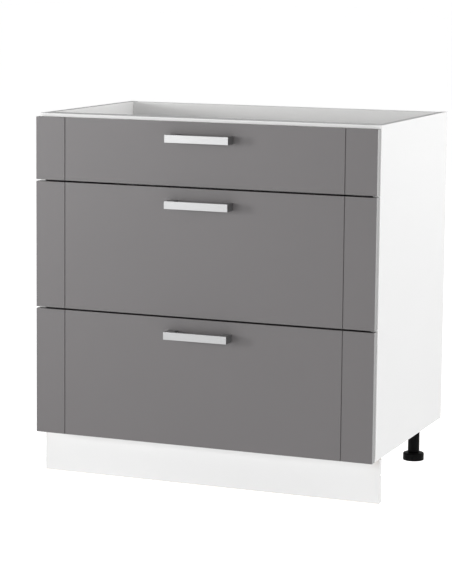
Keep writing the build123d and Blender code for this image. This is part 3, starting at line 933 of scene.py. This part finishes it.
def pads(name):
    """Low domed pads on points."""
    tree = GeometryTree(name, "Radius", "Thickness")
    radius, thickness = tree.wires
    ball = tree.add("GeometryNodeMeshUVSphere", segments=32, rings=16, radius=1.0)
    dome = tree.moved(ball, scale=tree.add("ShaderNodeCombineXYZ", radius, radius, thickness))
    half = 0.05
    below = tree.add("GeometryNodeMeshCube", (2 * half, 2 * half, 2 * half))
    return tree.on_points(tree.cut(dome, tree.moved(below, translation=(0, 0, -half))))


def threads(name):
    """Screw threads on points: a core with a helical ridge."""
    tree = GeometryTree(name, "Radius", "Length", "Thread Pitch")
    radius, rise, pitch = tree.wires
    core_radius, ridge = radius - pitch * 0.5, pitch * 0.45
    core = tree.bar(core_radius, core_radius, 0.0, rise, vertices=32)
    return tree.on_points(core, tree.helix(radius - ridge, 0.0, rise, pitch, ridge))


def seats_mesh(seats):
    """Points for a geometry tree, each with the way that it faces."""
    mesh = bpy.data.meshes.new("seats")
    mesh.from_pydata([head for head, _ in seats], [], [])
    facing = mesh.attributes.new("facing", "FLOAT_VECTOR", "POINT")
    for i, (_, way) in enumerate(seats):
        facing.data[i].vector = way
    return mesh


def folded(line, run, thickness, bend, sign=1):
    """A folded steel sheet: a line along its middle, drawn along a run; the sign picks the side."""
    source = bpy.data.meshes.new("fold")
    points = [(sign * x, y, z) for x, y, z in line]
    source.from_pydata(points, [(i, i + 1) for i in range(len(points) - 1)], [])
    return grown(
        folded_sheet, source, "coated_steel", run=Vector(run), thickness=thickness, bend_radius=bend
    )


# Boards


def cam_faces():
    """For each cam: the middle of its outer face, the way into the board, its depth and radius."""
    for solid in solids_of("cam_locks"):
        low, high = limits(solid)
        size = high - low
        axis = min(range(3), key=lambda i: size[i])
        way = Vector()
        way[axis] = 1
        face = middle((low, high))
        face[axis] = low[axis]
        radius = max(size[i] for i in range(3) if i != axis) / 2
        yield face, way, size[axis], radius


def cam_bores(node):
    """The round pockets of the cams that lie in one board."""
    low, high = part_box(node)
    above, wider = 0.1, 1.02  # the pocket's start above the face, and its radius, by the cam's
    return [
        (face - way * depth * above, face + way * depth, radius * wider)
        for face, way, depth, radius in cam_faces()
        if all(low[i] - WELD <= face[i] <= high[i] + WELD for i in range(3))
    ]


def screw_holes():
    """The holes through the front rail for the worktop's screws."""
    low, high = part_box("front_top_rail")
    dims = mount("worktop_screw_holes")
    hole_x, radius = dims["spacing_x_mm"] / 2000, dims["hole_r_mm"] / 1000
    hole_y, past = (low.y + high.y) / 2, 0.001
    return [((x, hole_y, low.z - past), (x, hole_y, high.z + past), radius) for x in (-hole_x, hole_x)]


def side_board(side):
    """A side panel with the groove for the back, its lower and rear edges bare."""
    play = BACK_PLAY
    groove_x = back_high.x + BACK_END_PLAY
    outline = [
        (inner_x, side_low.y), (outer_x, side_low.y), (outer_x, side_high.y), (inner_x, side_high.y),
        (inner_x, back_high.y + play), (groove_x, back_high.y + play),
        (groove_x, back_low.y - play), (inner_x, back_low.y - play),
    ]
    bm = eased(upright(outline, side_low.z, side_high.z), sizes().board_ease, segments=2)
    # Upward faces take the white darkened as painted shade; faces left at the first finish take it made brighter
    # as painted light.
    dress_faces(bm, {REARWARD: BARE, DOWN: BARE, UP: TOP})
    # The outer face takes the white darkened as painted shade.
    for face in bm.faces:
        if face.normal.x > FACING and face.calc_center_median().x > outer_x - WELD:
            face.material_index = OUTER
    return mirrored(bm, side)


def plain_board(node, bare_way, bores=()):
    """A board between the corners of its CAD node, its ends and one more edge bare, with bores."""
    bm = eased(box_bm(*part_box(node)), sizes().board_ease, segments=2)
    # Upward faces take the white darkened as painted shade; faces left at the first finish take it made brighter
    # as painted light.
    dress_faces(bm, {UP: TOP, RIGHT: BARE, LEFT: BARE, bare_way: BARE})
    return mesh_of(bored(bm, bores) if bores else bm)


class CABINET_OT_carcass(bpy.types.Operator):
    """Side panels, bottom, rails and back"""

    bl_idname = "cabinet.carcass"
    bl_label = "Carcass boards"

    def execute(self, context):
        for side in SIDES:
            add_piece(
                f"side_board_{side}", mesh_of(side_board(side)), (*BOARD_FINISHES, "outer_melamine"),
                "root", "white_board", f"side_panel_{side}",
            )
        for name, node, bare_way, holes in (
            ("bottom_board", "bottom_panel", REARWARD, []),
            ("front_rail", "front_top_rail", REARWARD, screw_holes()),
            ("rear_rail", "rear_top_rail", DOWN, []),
        ):
            mesh = plain_board(node, bare_way, cam_bores(node) + holes)
            add_piece(name, mesh, BOARD_FINISHES, "root", "white_board", node)
        # The face of the back takes the white made brighter as painted light.
        back = eased(box_bm(back_low, back_high), sizes().sheet_ease, segments=1)
        dress_faces(back, {REARWARD: BARE})
        add_piece(
            "back_sheet", mesh_of(back), ("white_lacquer", "hardboard_rear"), "root",
            "white_hardboard", "back_panel",
        )
        return {"FINISHED"}


class CABINET_OT_fittings(bpy.types.Operator):
    """Cams, cam bolts and dowels between the boards, and the pads behind the fronts"""

    bl_idname = "cabinet.fittings"
    bl_label = "Joint fittings"

    def execute(self, context):
        faces = list(cam_faces())
        source = seats_mesh([(face, way) for face, way, _, _ in faces])
        mesh = grown(cams, source, "cast_zinc", radius=faces[0][3], depth=faces[0][2])
        add_piece("cams", mesh, ["cast_zinc"], "root", "zinc_casting", "cam_locks")
        for name, node, material, slot, ease in (
            ("cam_pins", "cam_bolts", "zinc_plate", "zinc_steel", PIN_EASE),
            ("wood_dowels", "dowels", "beech_wood", "beech", DOWEL_EASE),
        ):
            mesh = mesh_of(joined(self.pin(solid, ease) for solid in solids_of(node)), smooth=40)
            add_piece(name, mesh, [material], "root", slot, node)
        self.front_pads()
        return {"FINISHED"}

    @staticmethod
    def pin(solid, ease):
        """A round pin with chamfered ends along X, as long as its solid."""
        low, high = limits(solid)
        radius, span = (high.z - low.z) / 2, high.x - low.x
        start = (low.x, *middle((low, high)).yz)
        profile = [
            (0, 0), (radius - ease, 0), (radius, ease), (radius, span - ease), (radius - ease, span),
            (0, span),
        ]
        return mesh_of(turned(profile, start, RIGHT, segments=24))

    @staticmethod
    def front_pads():
        """The soft pads behind the fronts."""
        seats = []
        for solid in solids_of("front_bumpers"):
            low, high = limits(solid)
            size = high - low
            seats.append((middle((low, high)) + Vector((0, size.y / 2, 0)), FORWARD))
        mesh = grown(pads, seats_mesh(seats), "clear_pad", radius=size.z / 2, thickness=size.y)
        add_piece("front_pads", mesh, ["clear_pad"], "root", "soft_pad", "front_bumpers")


# Drawer fronts and handles


def front_board(drawer):
    """A drawer front with two upright grooves, eased round its face, its rear face white."""
    low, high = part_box(f"front_{drawer}")
    inset, half_groove, steps = sizes().groove_inset, sizes().groove_width / 2, 8
    face_line = []
    for centre in (low.x + inset, high.x - inset):
        for step in range(steps + 1):
            along = step / steps * 2 - 1
            sink = sizes().groove_depth * (1 + cos(pi * along)) / 2
            face_line.append((centre + half_groove * along, low.y + sink))
    outline = [(low.x, high.y), (low.x, low.y), *face_line, (high.x, low.y), (high.x, high.y)]
    bm = upright(outline, low.z, high.z)

    def round_the_face(edge):
        """Whether the edge is one of the four round the face."""

        def both(axis, place):
            return all(abs(vert.co[axis] - place) < WELD for vert in edge.verts)

        return both(1, low.y) and any(both(axis, end[axis]) for axis in (0, 2) for end in (low, high))

    eased(bm, sizes().front_ease, segments=4, wanted=round_the_face)
    rear, ends = 1, 2  # places in the list of a front's finishes
    # The upright ends take the foil made paler as painted light, and the rear the white darkened as painted shade.
    return dress_faces(bm, {REARWARD: rear, RIGHT: ends, LEFT: ends})


def bow_handle(drawer):
    """A bow handle: a flat bar on two square legs, with round inner corners and crisp edges."""
    low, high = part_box(f"handle_{drawer}")
    corner, leg, steps = sizes().handle_corner, sizes().handle_leg, 6
    centre_y = low.y + sizes().handle_bar + corner
    inner = []
    for quarter, centre_x in enumerate((high.x - leg - corner, low.x + leg + corner)):
        for step in range(steps + 1):
            turn = -pi / 2 * (quarter + step / steps)
            inner.append((centre_x + corner * cos(turn), centre_y + corner * sin(turn)))
    outline = [
        (low.x, low.y), (high.x, low.y), (high.x, high.y), (high.x - leg, high.y), *inner,
        (low.x + leg, high.y), (low.x, high.y),
    ]
    return eased(upright(outline, low.z, high.z), sizes().handle_ease, segments=2, wanted=sharp)


class CABINET_OT_fronts(bpy.types.Operator):
    """Drawer fronts with their grooves"""

    bl_idname = "cabinet.fronts"
    bl_label = "Drawer fronts"

    def execute(self, context):
        # Fronts: grey foil, the white darkened as painted shade behind, and the foil made paler as painted light
        # on the upright edges.
        finishes = ("grey_foil", "white_melamine", "edge_foil")
        for drawer in DRAWERS:
            add_piece(
                f"front_board_{drawer}", mesh_of(front_board(drawer)), finishes, f"drawer_{drawer}",
                "grey_front", f"front_{drawer}",
            )
        return {"FINISHED"}


class CABINET_OT_handles(bpy.types.Operator):
    """Bow handles"""

    bl_idname = "cabinet.handles"
    bl_label = "Handles"

    def execute(self, context):
        for drawer in DRAWERS:
            add_piece(
                f"bow_handle_{drawer}", mesh_of(bow_handle(drawer)), ["brushed_metal"],
                f"drawer_{drawer}", "satin_metal", f"handle_{drawer}",
            )
        return {"FINISHED"}


# Steel drawers and runners


def rivet(node, web, sign):
    """A riveted axle for a roller: collar, shaft and domed head, from a web inwards or outwards."""
    here = sizes()
    low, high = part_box(node)
    near, far = sorted(abs(abs(x) - web) for x in (low.x, high.x))
    collar, reach = near - ROLLER_PLAY, far + ROLLER_PLAY
    top, dome = reach + here.rivet_head, here.rivet_head * 0.6
    profile = [
        (0, 0), (here.rivet, 0), (here.rivet, collar), (here.axle, collar), (here.axle, reach),
        (here.rivet, reach), (here.rivet, top - dome), (here.rivet - dome, top), (0, top),
    ]
    place = middle((low, high))
    start = (web if place.x > 0 else -web, place.y, place.z)
    return mesh_of(turned(profile, start, (sign, 0, 0), segments=32), smooth=40)


def plate(low, high, side):
    """A small plate of drawer steel between two corners, for the side asked for."""
    return mesh_of(mirrored(eased(box_bm(low, high), sizes().sheet_ease, segments=2), side))


def steel_side(side, drawer):
    """A drawer side: floor flange, beaded web and hem in one sheet, the track, tab and axle."""
    here = sizes()
    half, sign = here.sheet / 2, SIDES[side]
    low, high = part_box(f"drawer_side_{side}_{drawer}")
    web_face = inner_x - here.side_gap
    web, floor_edge, hem = web_face - half, web_face - here.floor_flange, web_face - here.hem + half
    bead_top = high.z - 3 * here.bead_height
    bead_low = bead_top - here.bead_height
    slope, top = here.bead_depth, high.z - half
    section = [
        (floor_edge, low.z + half), (web, low.z + half), (web, bead_low - slope),
        (web + here.bead_depth, bead_low), (web + here.bead_depth, bead_top), (web, bead_top + slope),
        (web, top), (hem, top), (hem, high.z - here.hem_drop),
    ]
    track_z = low.z + here.track_height + half
    track = [(x, track_z) for x in (web, inner_x - TRACK_PLAY)]
    sheets = [
        folded([(x, low.y, z) for x, z in line], (0, high.y - low.y, 0), here.sheet, here.bend, sign)
        for line in (section, track)
    ]
    tab_low = (floor_edge, high.y - here.sheet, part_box(f"drawer_back_{drawer}")[0].z + TAB_INSET)
    tab = plate(tab_low, (web, high.y, high.z - here.hem_drop - TAB_INSET), side)
    return joined([*sheets, tab, rivet(f"rear_roller_{side}_{drawer}", web_face, sign)])


def runner(side, drawer):
    """A runner: a channel open towards the drawer, cut away over its front roller, and its stop."""
    here = sizes()
    half, sign = here.sheet / 2, SIDES[side]
    low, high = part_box(f"runners_{side}")
    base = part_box(f"drawer_side_{side}_{drawer}")[0].z
    near, far = inner_x - half, inner_x - here.channel_depth + half
    top, lip_low = base + here.channel_height, base + here.channel_lip
    front_node = f"front_roller_{side}_{drawer}"
    roller_low, roller_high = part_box(front_node)
    window_end = roller_high.y + here.channel_lip
    whole = [
        (far, top - here.channel_lip), (far, top - half), (near, top - half), (near, base + half),
        (far, base + half), (far, lip_low),
    ]
    parts = []
    for section, start, end in (
        ([(near, top), *whole[3:]], low.y, window_end), (whole, window_end, high.y),
    ):
        line = [(x, start, z) for x, z in section]
        parts.append(folded(line, (0, end - start, 0), here.sheet, here.bend, sign))
    rear_roller = middle(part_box(f"rear_roller_{side}_{drawer}"))
    radius = (roller_high.z - roller_low.z) / 2
    stop_y = rear_roller.y - travels[f"drawer_{drawer}"] - radius - STOP_PLAY
    stop_x, half_width = abs(rear_roller.x), STOP_WIDTH / 2
    stop_low = (stop_x - half_width, stop_y - here.sheet, base + half)
    stop_high = (stop_x + half_width, stop_y, base + here.sheet + STOP_HEIGHT)
    parts.append(plate(stop_low, stop_high, side))
    parts.append(rivet(front_node, inner_x - here.sheet, -sign))
    return mesh_of(joined(parts))


def roller_mesh(node):
    """A roller: tread with rounded rims, a sunk web and a hub with its bore."""
    low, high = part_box(node)
    radius, width = (high.z - low.z) / 2, high.x - low.x
    bore, hub, rim = sizes().axle + AXLE_PLAY, sizes().rivet * 1.05, radius * 0.80
    sunk, edge = width * 0.10, 0.0005
    half_profile = [
        (bore, 0), (hub, 0), (hub + sunk * 0.5, sunk), (rim, sunk), (rim + sunk * 0.5, 0),
        (radius - edge, 0), (radius - edge * 0.3, edge * 0.3), (radius, edge),
    ]
    profile = half_profile + [(r, width - h) for r, h in reversed(half_profile)] + [half_profile[0]]
    return mesh_of(turned(profile, (low.x, *middle((low, high)).yz), RIGHT), SMOOTH)


class CABINET_OT_drawer_steel(bpy.types.Operator):
    """Folded drawer sides and the brackets that carry the fronts"""

    bl_idname = "cabinet.drawer_steel"
    bl_label = "Drawer sides and brackets"

    def execute(self, context):
        for drawer in DRAWERS:
            for side in SIDES:
                add_piece(
                    f"steel_side_{side}_{drawer}", mesh_of(steel_side(side, drawer), SMOOTH),
                    ["coated_steel"], f"drawer_{drawer}", "white_steel", f"drawer_side_{side}_{drawer}",
                )
            add_piece(
                f"angle_brackets_{drawer}", mesh_of(self.brackets(drawer), SMOOTH), ["coated_steel"],
                f"drawer_{drawer}", "white_steel", f"front_brackets_{drawer}",
            )
        return {"FINISHED"}

    @staticmethod
    def brackets(drawer):
        """Two angle brackets, each folded from one strip."""
        sheet = sizes().bracket_sheet
        low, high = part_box(f"front_brackets_{drawer}")
        foot = limits(solids_of(f"front_brackets_{drawer}")[-1])[0].x
        stem, flat = high.x - sheet / 2, low.y + sheet / 2
        line = [(x, y, low.z) for x, y in ((foot, flat), (stem, flat), (stem, high.y))]
        run, bend = (0, 0, high.z - low.z), BRACKET_BEND
        return joined(folded(line, run, sheet, bend, sign) for sign in SIDES.values())


class CABINET_OT_runners(bpy.types.Operator):
    """Runners on the side panels"""

    bl_idname = "cabinet.runners"
    bl_label = "Runners"

    def execute(self, context):
        for side in SIDES:
            mesh = mesh_of(joined(runner(side, drawer) for drawer in DRAWERS), SMOOTH)
            node = f"runners_{side}"
            add_piece(f"runner_channels_{side}", mesh, ["coated_steel"], "root", "white_steel", node)
        return {"FINISHED"}


class CABINET_OT_rollers(bpy.types.Operator):
    """Nylon rollers of the runners and the drawer sides"""

    bl_idname = "cabinet.rollers"
    bl_label = "Rollers"

    def execute(self, context):
        for place in PLACES:
            for drawer in DRAWERS:
                for side in SIDES:
                    node = f"{place}_roller_{side}_{drawer}"
                    add_piece(f"nylon_{node}", roller_mesh(node), ["white_nylon"], node, "nylon", node)
        return {"FINISHED"}


class CABINET_OT_drawer_boards(bpy.types.Operator):
    """Bottoms and backs of the drawers"""

    bl_idname = "cabinet.drawer_boards"
    bl_label = "Drawer boards"

    def execute(self, context):
        for drawer in DRAWERS:
            for part, bare_way in (("bottom", REARWARD), ("back", DOWN)):
                node = f"drawer_{part}_{drawer}"
                add_piece(
                    f"drawer_{part}_board_{drawer}", plain_board(node, bare_way), BOARD_FINISHES,
                    f"drawer_{drawer}", "white_board", node,
                )
        return {"FINISHED"}


class CABINET_OT_screws(bpy.types.Operator):
    """Wood screws of the carcass and the drawers, and the machine screws of the handles"""

    bl_idname = "cabinet.screws"
    bl_label = "Screws"

    def execute(self, context):
        here = sizes()
        wood = {
            "head_radius": here.screw_head, "shank_radius": here.screw_shank, "thread_pitch": SCREW_PITCH,
        }
        self.screws("wood_carcass_screws", "carcass_screws", "root", wood_screws, **wood)
        for drawer in DRAWERS:
            node, body = f"drawer_screws_{drawer}", f"drawer_{drawer}"
            self.screws(f"wood_{node}", node, body, wood_screws, **wood)
            node = f"handle_screws_{drawer}"
            low, high = limits(solids_of(node)[0])
            self.screws(
                f"machine_{node}", node, body, machine_screws, head_radius=(high.z - low.z) / 2,
                head_height=here.bolt_head, shank_radius=here.bolt_shank, thread_pitch=BOLT_PITCH,
            )
        return {"FINISHED"}

    @staticmethod
    def screws(name, node, body, plan, **values):
        """The screws of one CAD node, each as long as its solid."""
        solids = solids_of(node)
        low, high = limits(solids[0])
        source = seats_mesh([seat_of(solid) for solid in solids])
        mesh = grown(plan, source, "zinc_plate", length=max(high - low), **values)
        add_piece(name, mesh, ["zinc_plate"], body, "zinc_steel", node)


# Legs and plinth


class CABINET_OT_legs(bpy.types.Operator):
    """Leg sockets, leg tubes and the feet with their threads"""

    bl_idname = "cabinet.legs"
    bl_label = "Legs"

    def execute(self, context):
        pieces = [
            ("leg_plates", "root", "leg_sockets", map(self.socket, solids_of("leg_sockets"))),
            ("leg_posts", "root", "leg_tubes", map(self.tube, solids_of("leg_tubes"))),
        ]
        for node in (f"foot_{place}_{side}" for place in PLACES for side in SIDES):
            pieces.append((f"levelling_{node}", node, node, self.foot(node)))
        for name, body, node, parts in pieces:
            mesh = mesh_of(joined(parts), SMOOTH)
            add_piece(name, mesh, ["moulded_plastic"], body, "black_plastic", node)
        return {"FINISHED"}

    @staticmethod
    def socket(solid):
        """A plate with clipped corners, a ring for the tube and four gussets."""
        here = sizes()
        low, high = limits(solid)
        tube_low, tube_high = min(
            (limits(tube) for tube in solids_of("leg_tubes")),
            key=lambda box: (middle(box) - middle((low, high))).length,
        )
        (middle_x, middle_y, _), radius = under_middle(tube_low, tube_high)
        plate_low, clip = tube_high.z, here.socket_clip
        outline = [
            (low.x + clip, low.y), (high.x - clip, low.y), (high.x, low.y + clip),
            (high.x, high.y - clip), (high.x - clip, high.y), (low.x + clip, high.y),
            (low.x, high.y - clip), (low.x, low.y + clip),
        ]
        parts = [mesh_of(eased(upright(outline, plate_low, high.z), SOCKET_EASE, segments=2, wanted=sharp))]
        inner, outer = radius + AXLE_PLAY, radius + here.socket_wall
        depth, ease, sunk = plate_low - low.z, here.leg_ease, 0.0005
        profile = [
            (inner, 0), (outer - ease, 0), (outer, ease), (outer, depth), (inner, depth), (inner, 0),
        ]
        parts.append(mesh_of(turned(profile, (middle_x, middle_y, low.z), UP, segments=64)))
        for turn in range(4):
            diagonal = radians(45 + 90 * turn)
            out = Vector((cos(diagonal), sin(diagonal), 0))
            across = Vector((-sin(diagonal), cos(diagonal), 0)) * GUSSET_HALF
            foot = Vector((middle_x, middle_y, plate_low)) - across
            corner = foot + out * (outer - sunk)
            points = [corner, foot + out * (outer + here.gusset), corner - Vector((0, 0, depth * 0.8))]
            gusset = drawn_out(points, across * 2)
            parts.append(mesh_of(eased(gusset, here.sheet_ease, segments=1, wanted=sharp)))
        return mesh_of(joined(parts))

    @staticmethod
    def tube(solid):
        """A plain tube, closed above, with the bore for the foot's thread."""
        low, high = limits(solid)
        start, radius = under_middle(low, high)
        stud_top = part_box("foot_front_right")[1].z
        bore, bore_depth = STUD_BORE, stud_top - low.z + FOOT_PLAY
        ease, height = sizes().leg_ease, high.z - low.z
        profile = [
            (0, bore_depth), (bore, bore_depth), (bore, ease), (bore + ease, 0), (radius - ease, 0),
            (radius - ease * 0.3, ease * 0.3), (radius, ease), (radius, height), (0, height),
        ]
        return mesh_of(turned(profile, start, UP, segments=64))

    @staticmethod
    def foot(node):
        """A round foot with softened edges, and its threaded stud."""
        here = sizes()
        low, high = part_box(node)
        start, radius = under_middle(low, high)
        height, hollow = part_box("leg_tubes")[0].z - FOOT_PLAY, FOOT_HOLLOW
        profile = [
            (0, hollow), (radius * 0.55, hollow), (radius * 0.6, 0), (radius, 0), (radius, height),
            (0, height),
        ]
        profile = rounded(profile, corner=4, radius=here.foot_round, steps=8)
        profile = rounded(profile, corner=3, radius=here.foot_under, steps=4)
        disc = mesh_of(turned(profile, start, UP, segments=96))
        source = seats_mesh([((*start[:2], height), UP)])
        stud = grown(
            threads, source, "moulded_plastic", radius=here.stud, length=high.z - height,
            thread_pitch=STUD_PITCH,
        )
        return [disc, stud]


class CABINET_OT_plinth(bpy.types.Operator):
    """Plinth board with the groove for its clips, and the clips"""

    bl_idname = "cabinet.plinth"
    bl_label = "Plinth"

    def execute(self, context):
        here = sizes()
        low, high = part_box("plinth_board")
        groove_y, groove_low = high.y - here.plinth_groove_depth, here.plinth_groove
        groove_high = groove_low + here.plinth_groove_width
        outline = [
            (low.y, low.z), (high.y, low.z), (high.y, groove_low), (groove_y, groove_low),
            (groove_y, groove_high), (high.y, groove_high), (high.y, high.z), (low.y, high.z),
        ]
        bm = drawn_out([(low.x, y, z) for y, z in outline], (high.x - low.x, 0, 0))
        # All but the underside take the white darkened as painted shade.
        dress_faces(eased(bm, here.board_ease, segments=2), {DOWN: BARE})
        add_piece(
            "plinth_front", mesh_of(bm), ("outer_melamine", "bare_chipboard"), "plinth", "white_board",
            "plinth_board",
        )
        clips = cad_bm("plinth_clips")
        bmesh.ops.dissolve_limit(clips, angle_limit=radians(1), verts=clips.verts, edges=clips.edges)
        mesh = mesh_of(eased(clips, here.sheet_ease, segments=1, wanted=sharp), SMOOTH)
        add_piece("spring_clips", mesh, ["moulded_plastic"], "plinth", "black_plastic", "plinth_clips")
        return {"FINISHED"}


# Stage


class CABINET_OT_stage(bpy.types.Operator):
    """Pale floor, soft studio light and the camera"""

    bl_idname = "cabinet.stage"
    bl_label = "Stage"

    def execute(self, context):
        studio = context.scene.cabinet_studio
        self.floor(studio)
        self.sky(context.scene, studio)
        for name, place, size in (
            ("side_light", (4.6, 0.4, 3.2), 2.6),
            ("rear_light", (2.0, 6.2, 1.0), 2.4),
            ("gloss_light", (-2.9, -5.2, 1.5), 2.2),
            ("fill_light", (-4.3, -3.2, 1.0), 1.0),
        ):
            self.lamp(name, place, size, getattr(studio, name))
        self.camera(context.scene, studio)
        return {"FINISHED"}

    @staticmethod
    def floor(studio):
        """A wide pale floor that gives off a little light."""
        half, paper = 60.0, (0.92, 0.92, 0.92)
        mesh = bpy.data.meshes.new("floor")
        corners = [(-half, -half, 0), (half, -half, 0), (half, half, 0), (-half, half, 0)]
        mesh.from_pydata(corners, [], [(0, 1, 2, 3)])
        made = Finish("studio_floor")
        base = made.shaded(made.noise(0.6, 2), paper, 0.004)
        mesh.materials.append(made.done(
            base, 0.9, specular_ior_level=0.1, emission_color=(1, 1, 1, 1),
            emission_strength=studio.floor_glow,
        ))
        floor = put("floor", mesh)
        floor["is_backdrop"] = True

    @staticmethod
    def sky(scene, studio):
        """Bright walls of light all round, weaker overhead."""
        world = bpy.data.worlds.new("studio")
        world.use_nodes = True
        scene.world = world
        nodes = Nodes(world.node_tree)
        way = nodes.add("ShaderNodeTexCoord", output="Generated")
        height = nodes.add("ShaderNodeSeparateXYZ", way, output="Z")
        walls_end, overhead_starts = 0.13, 0.45
        light = nodes.add(
            "ShaderNodeMapRange", height, walls_end, overhead_starts, studio.sky, studio.overhead,
            interpolation_type="SMOOTHSTEP",
        )
        background = nodes.add("ShaderNodeBackground", (1, 1, 1, 1), light)
        nodes.add("ShaderNodeOutputWorld", background)

    @staticmethod
    def lamp(name, place, size, watts):
        """A square soft box that looks at the middle of the cabinet."""
        target = Vector((0, 0, 0.45))
        data = bpy.data.lights.new(name, "AREA")
        data.size = size
        data.energy = watts
        lamp = put(name, data)
        lamp.location = place
        lamp.rotation_euler = (target - Vector(place)).to_track_quat("-Z", "Y").to_euler()

    @staticmethod
    def camera(scene, studio):
        """The camera of the photograph: its lens, its place and the way that it looks."""
        data = bpy.data.cameras.new("camera")
        data.sensor_width = 36.0
        data.lens = studio.focal_length / PICTURE_HEIGHT * data.sensor_width
        data.shift_y = -(PICTURE_HEIGHT / 2 - studio.centre_row) / PICTURE_HEIGHT
        data.clip_end = 200.0
        turn, tilt, roll = studio.turn, studio.tilt, studio.roll
        ahead = Vector((-sin(turn) * cos(tilt), cos(turn) * cos(tilt), -sin(tilt)))
        level = Vector((cos(turn), sin(turn), 0))
        above = level.cross(ahead)
        right = level * cos(roll) + above * sin(roll)
        up = above * cos(roll) - level * sin(roll)
        facing = Matrix((right, up, -ahead)).transposed().to_4x4()
        scene.camera = put("camera", data)
        scene.camera.matrix_world = Matrix.Translation(studio.eye) @ facing
        scene.view_settings.view_transform = "Standard"


# Panel and registration


class CABINET_PT_dressing(bpy.types.Panel):
    """Lists the making of the cabinet's pieces"""

    bl_idname = "CABINET_PT_dressing"
    bl_label = "Drawer Cabinet"
    bl_space_type = "VIEW_3D"
    bl_region_type = "UI"
    bl_category = "Cabinet"

    def draw(self, context):
        for operator in OPERATORS:
            self.layout.operator(operator.bl_idname)
        for name in GROUPS:
            group = getattr(context.scene, name)
            column = self.layout.column()
            for prop in group.__annotations__:
                column.prop(group, prop)


OPERATORS = (
    CABINET_OT_stage,
    CABINET_OT_carcass,
    CABINET_OT_fittings,
    CABINET_OT_fronts,
    CABINET_OT_handles,
    CABINET_OT_drawer_steel,
    CABINET_OT_runners,
    CABINET_OT_rollers,
    CABINET_OT_drawer_boards,
    CABINET_OT_screws,
    CABINET_OT_legs,
    CABINET_OT_plinth,
)
GROUPS = {
    "cabinet_sizes": CabinetSizes,
    "cabinet_colours": CabinetColours,
    "cabinet_studio": CabinetStudio,
}


def register():
    for kind in (*GROUPS.values(), *OPERATORS, CABINET_PT_dressing):
        bpy.utils.register_class(kind)
    for name, group in GROUPS.items():
        setattr(bpy.types.Scene, name, PointerProperty(type=group))


def unregister():
    for name in GROUPS:
        delattr(bpy.types.Scene, name)
    for kind in reversed((*GROUPS.values(), *OPERATORS, CABINET_PT_dressing)):
        bpy.utils.unregister_class(kind)


def main():
    """Makes every piece and works out the size of the CAD model and of the dressed one."""
    register()
    for operator in OPERATORS:
        group, name = operator.bl_idname.split(".")
        getattr(getattr(bpy.ops, group), name)()
    boxes = {
        label: [list(corner) for corner in box]
        for label, box in (("cad", cad_box), ("visual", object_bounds()))
    }


if __name__ == "__main__":
    main()
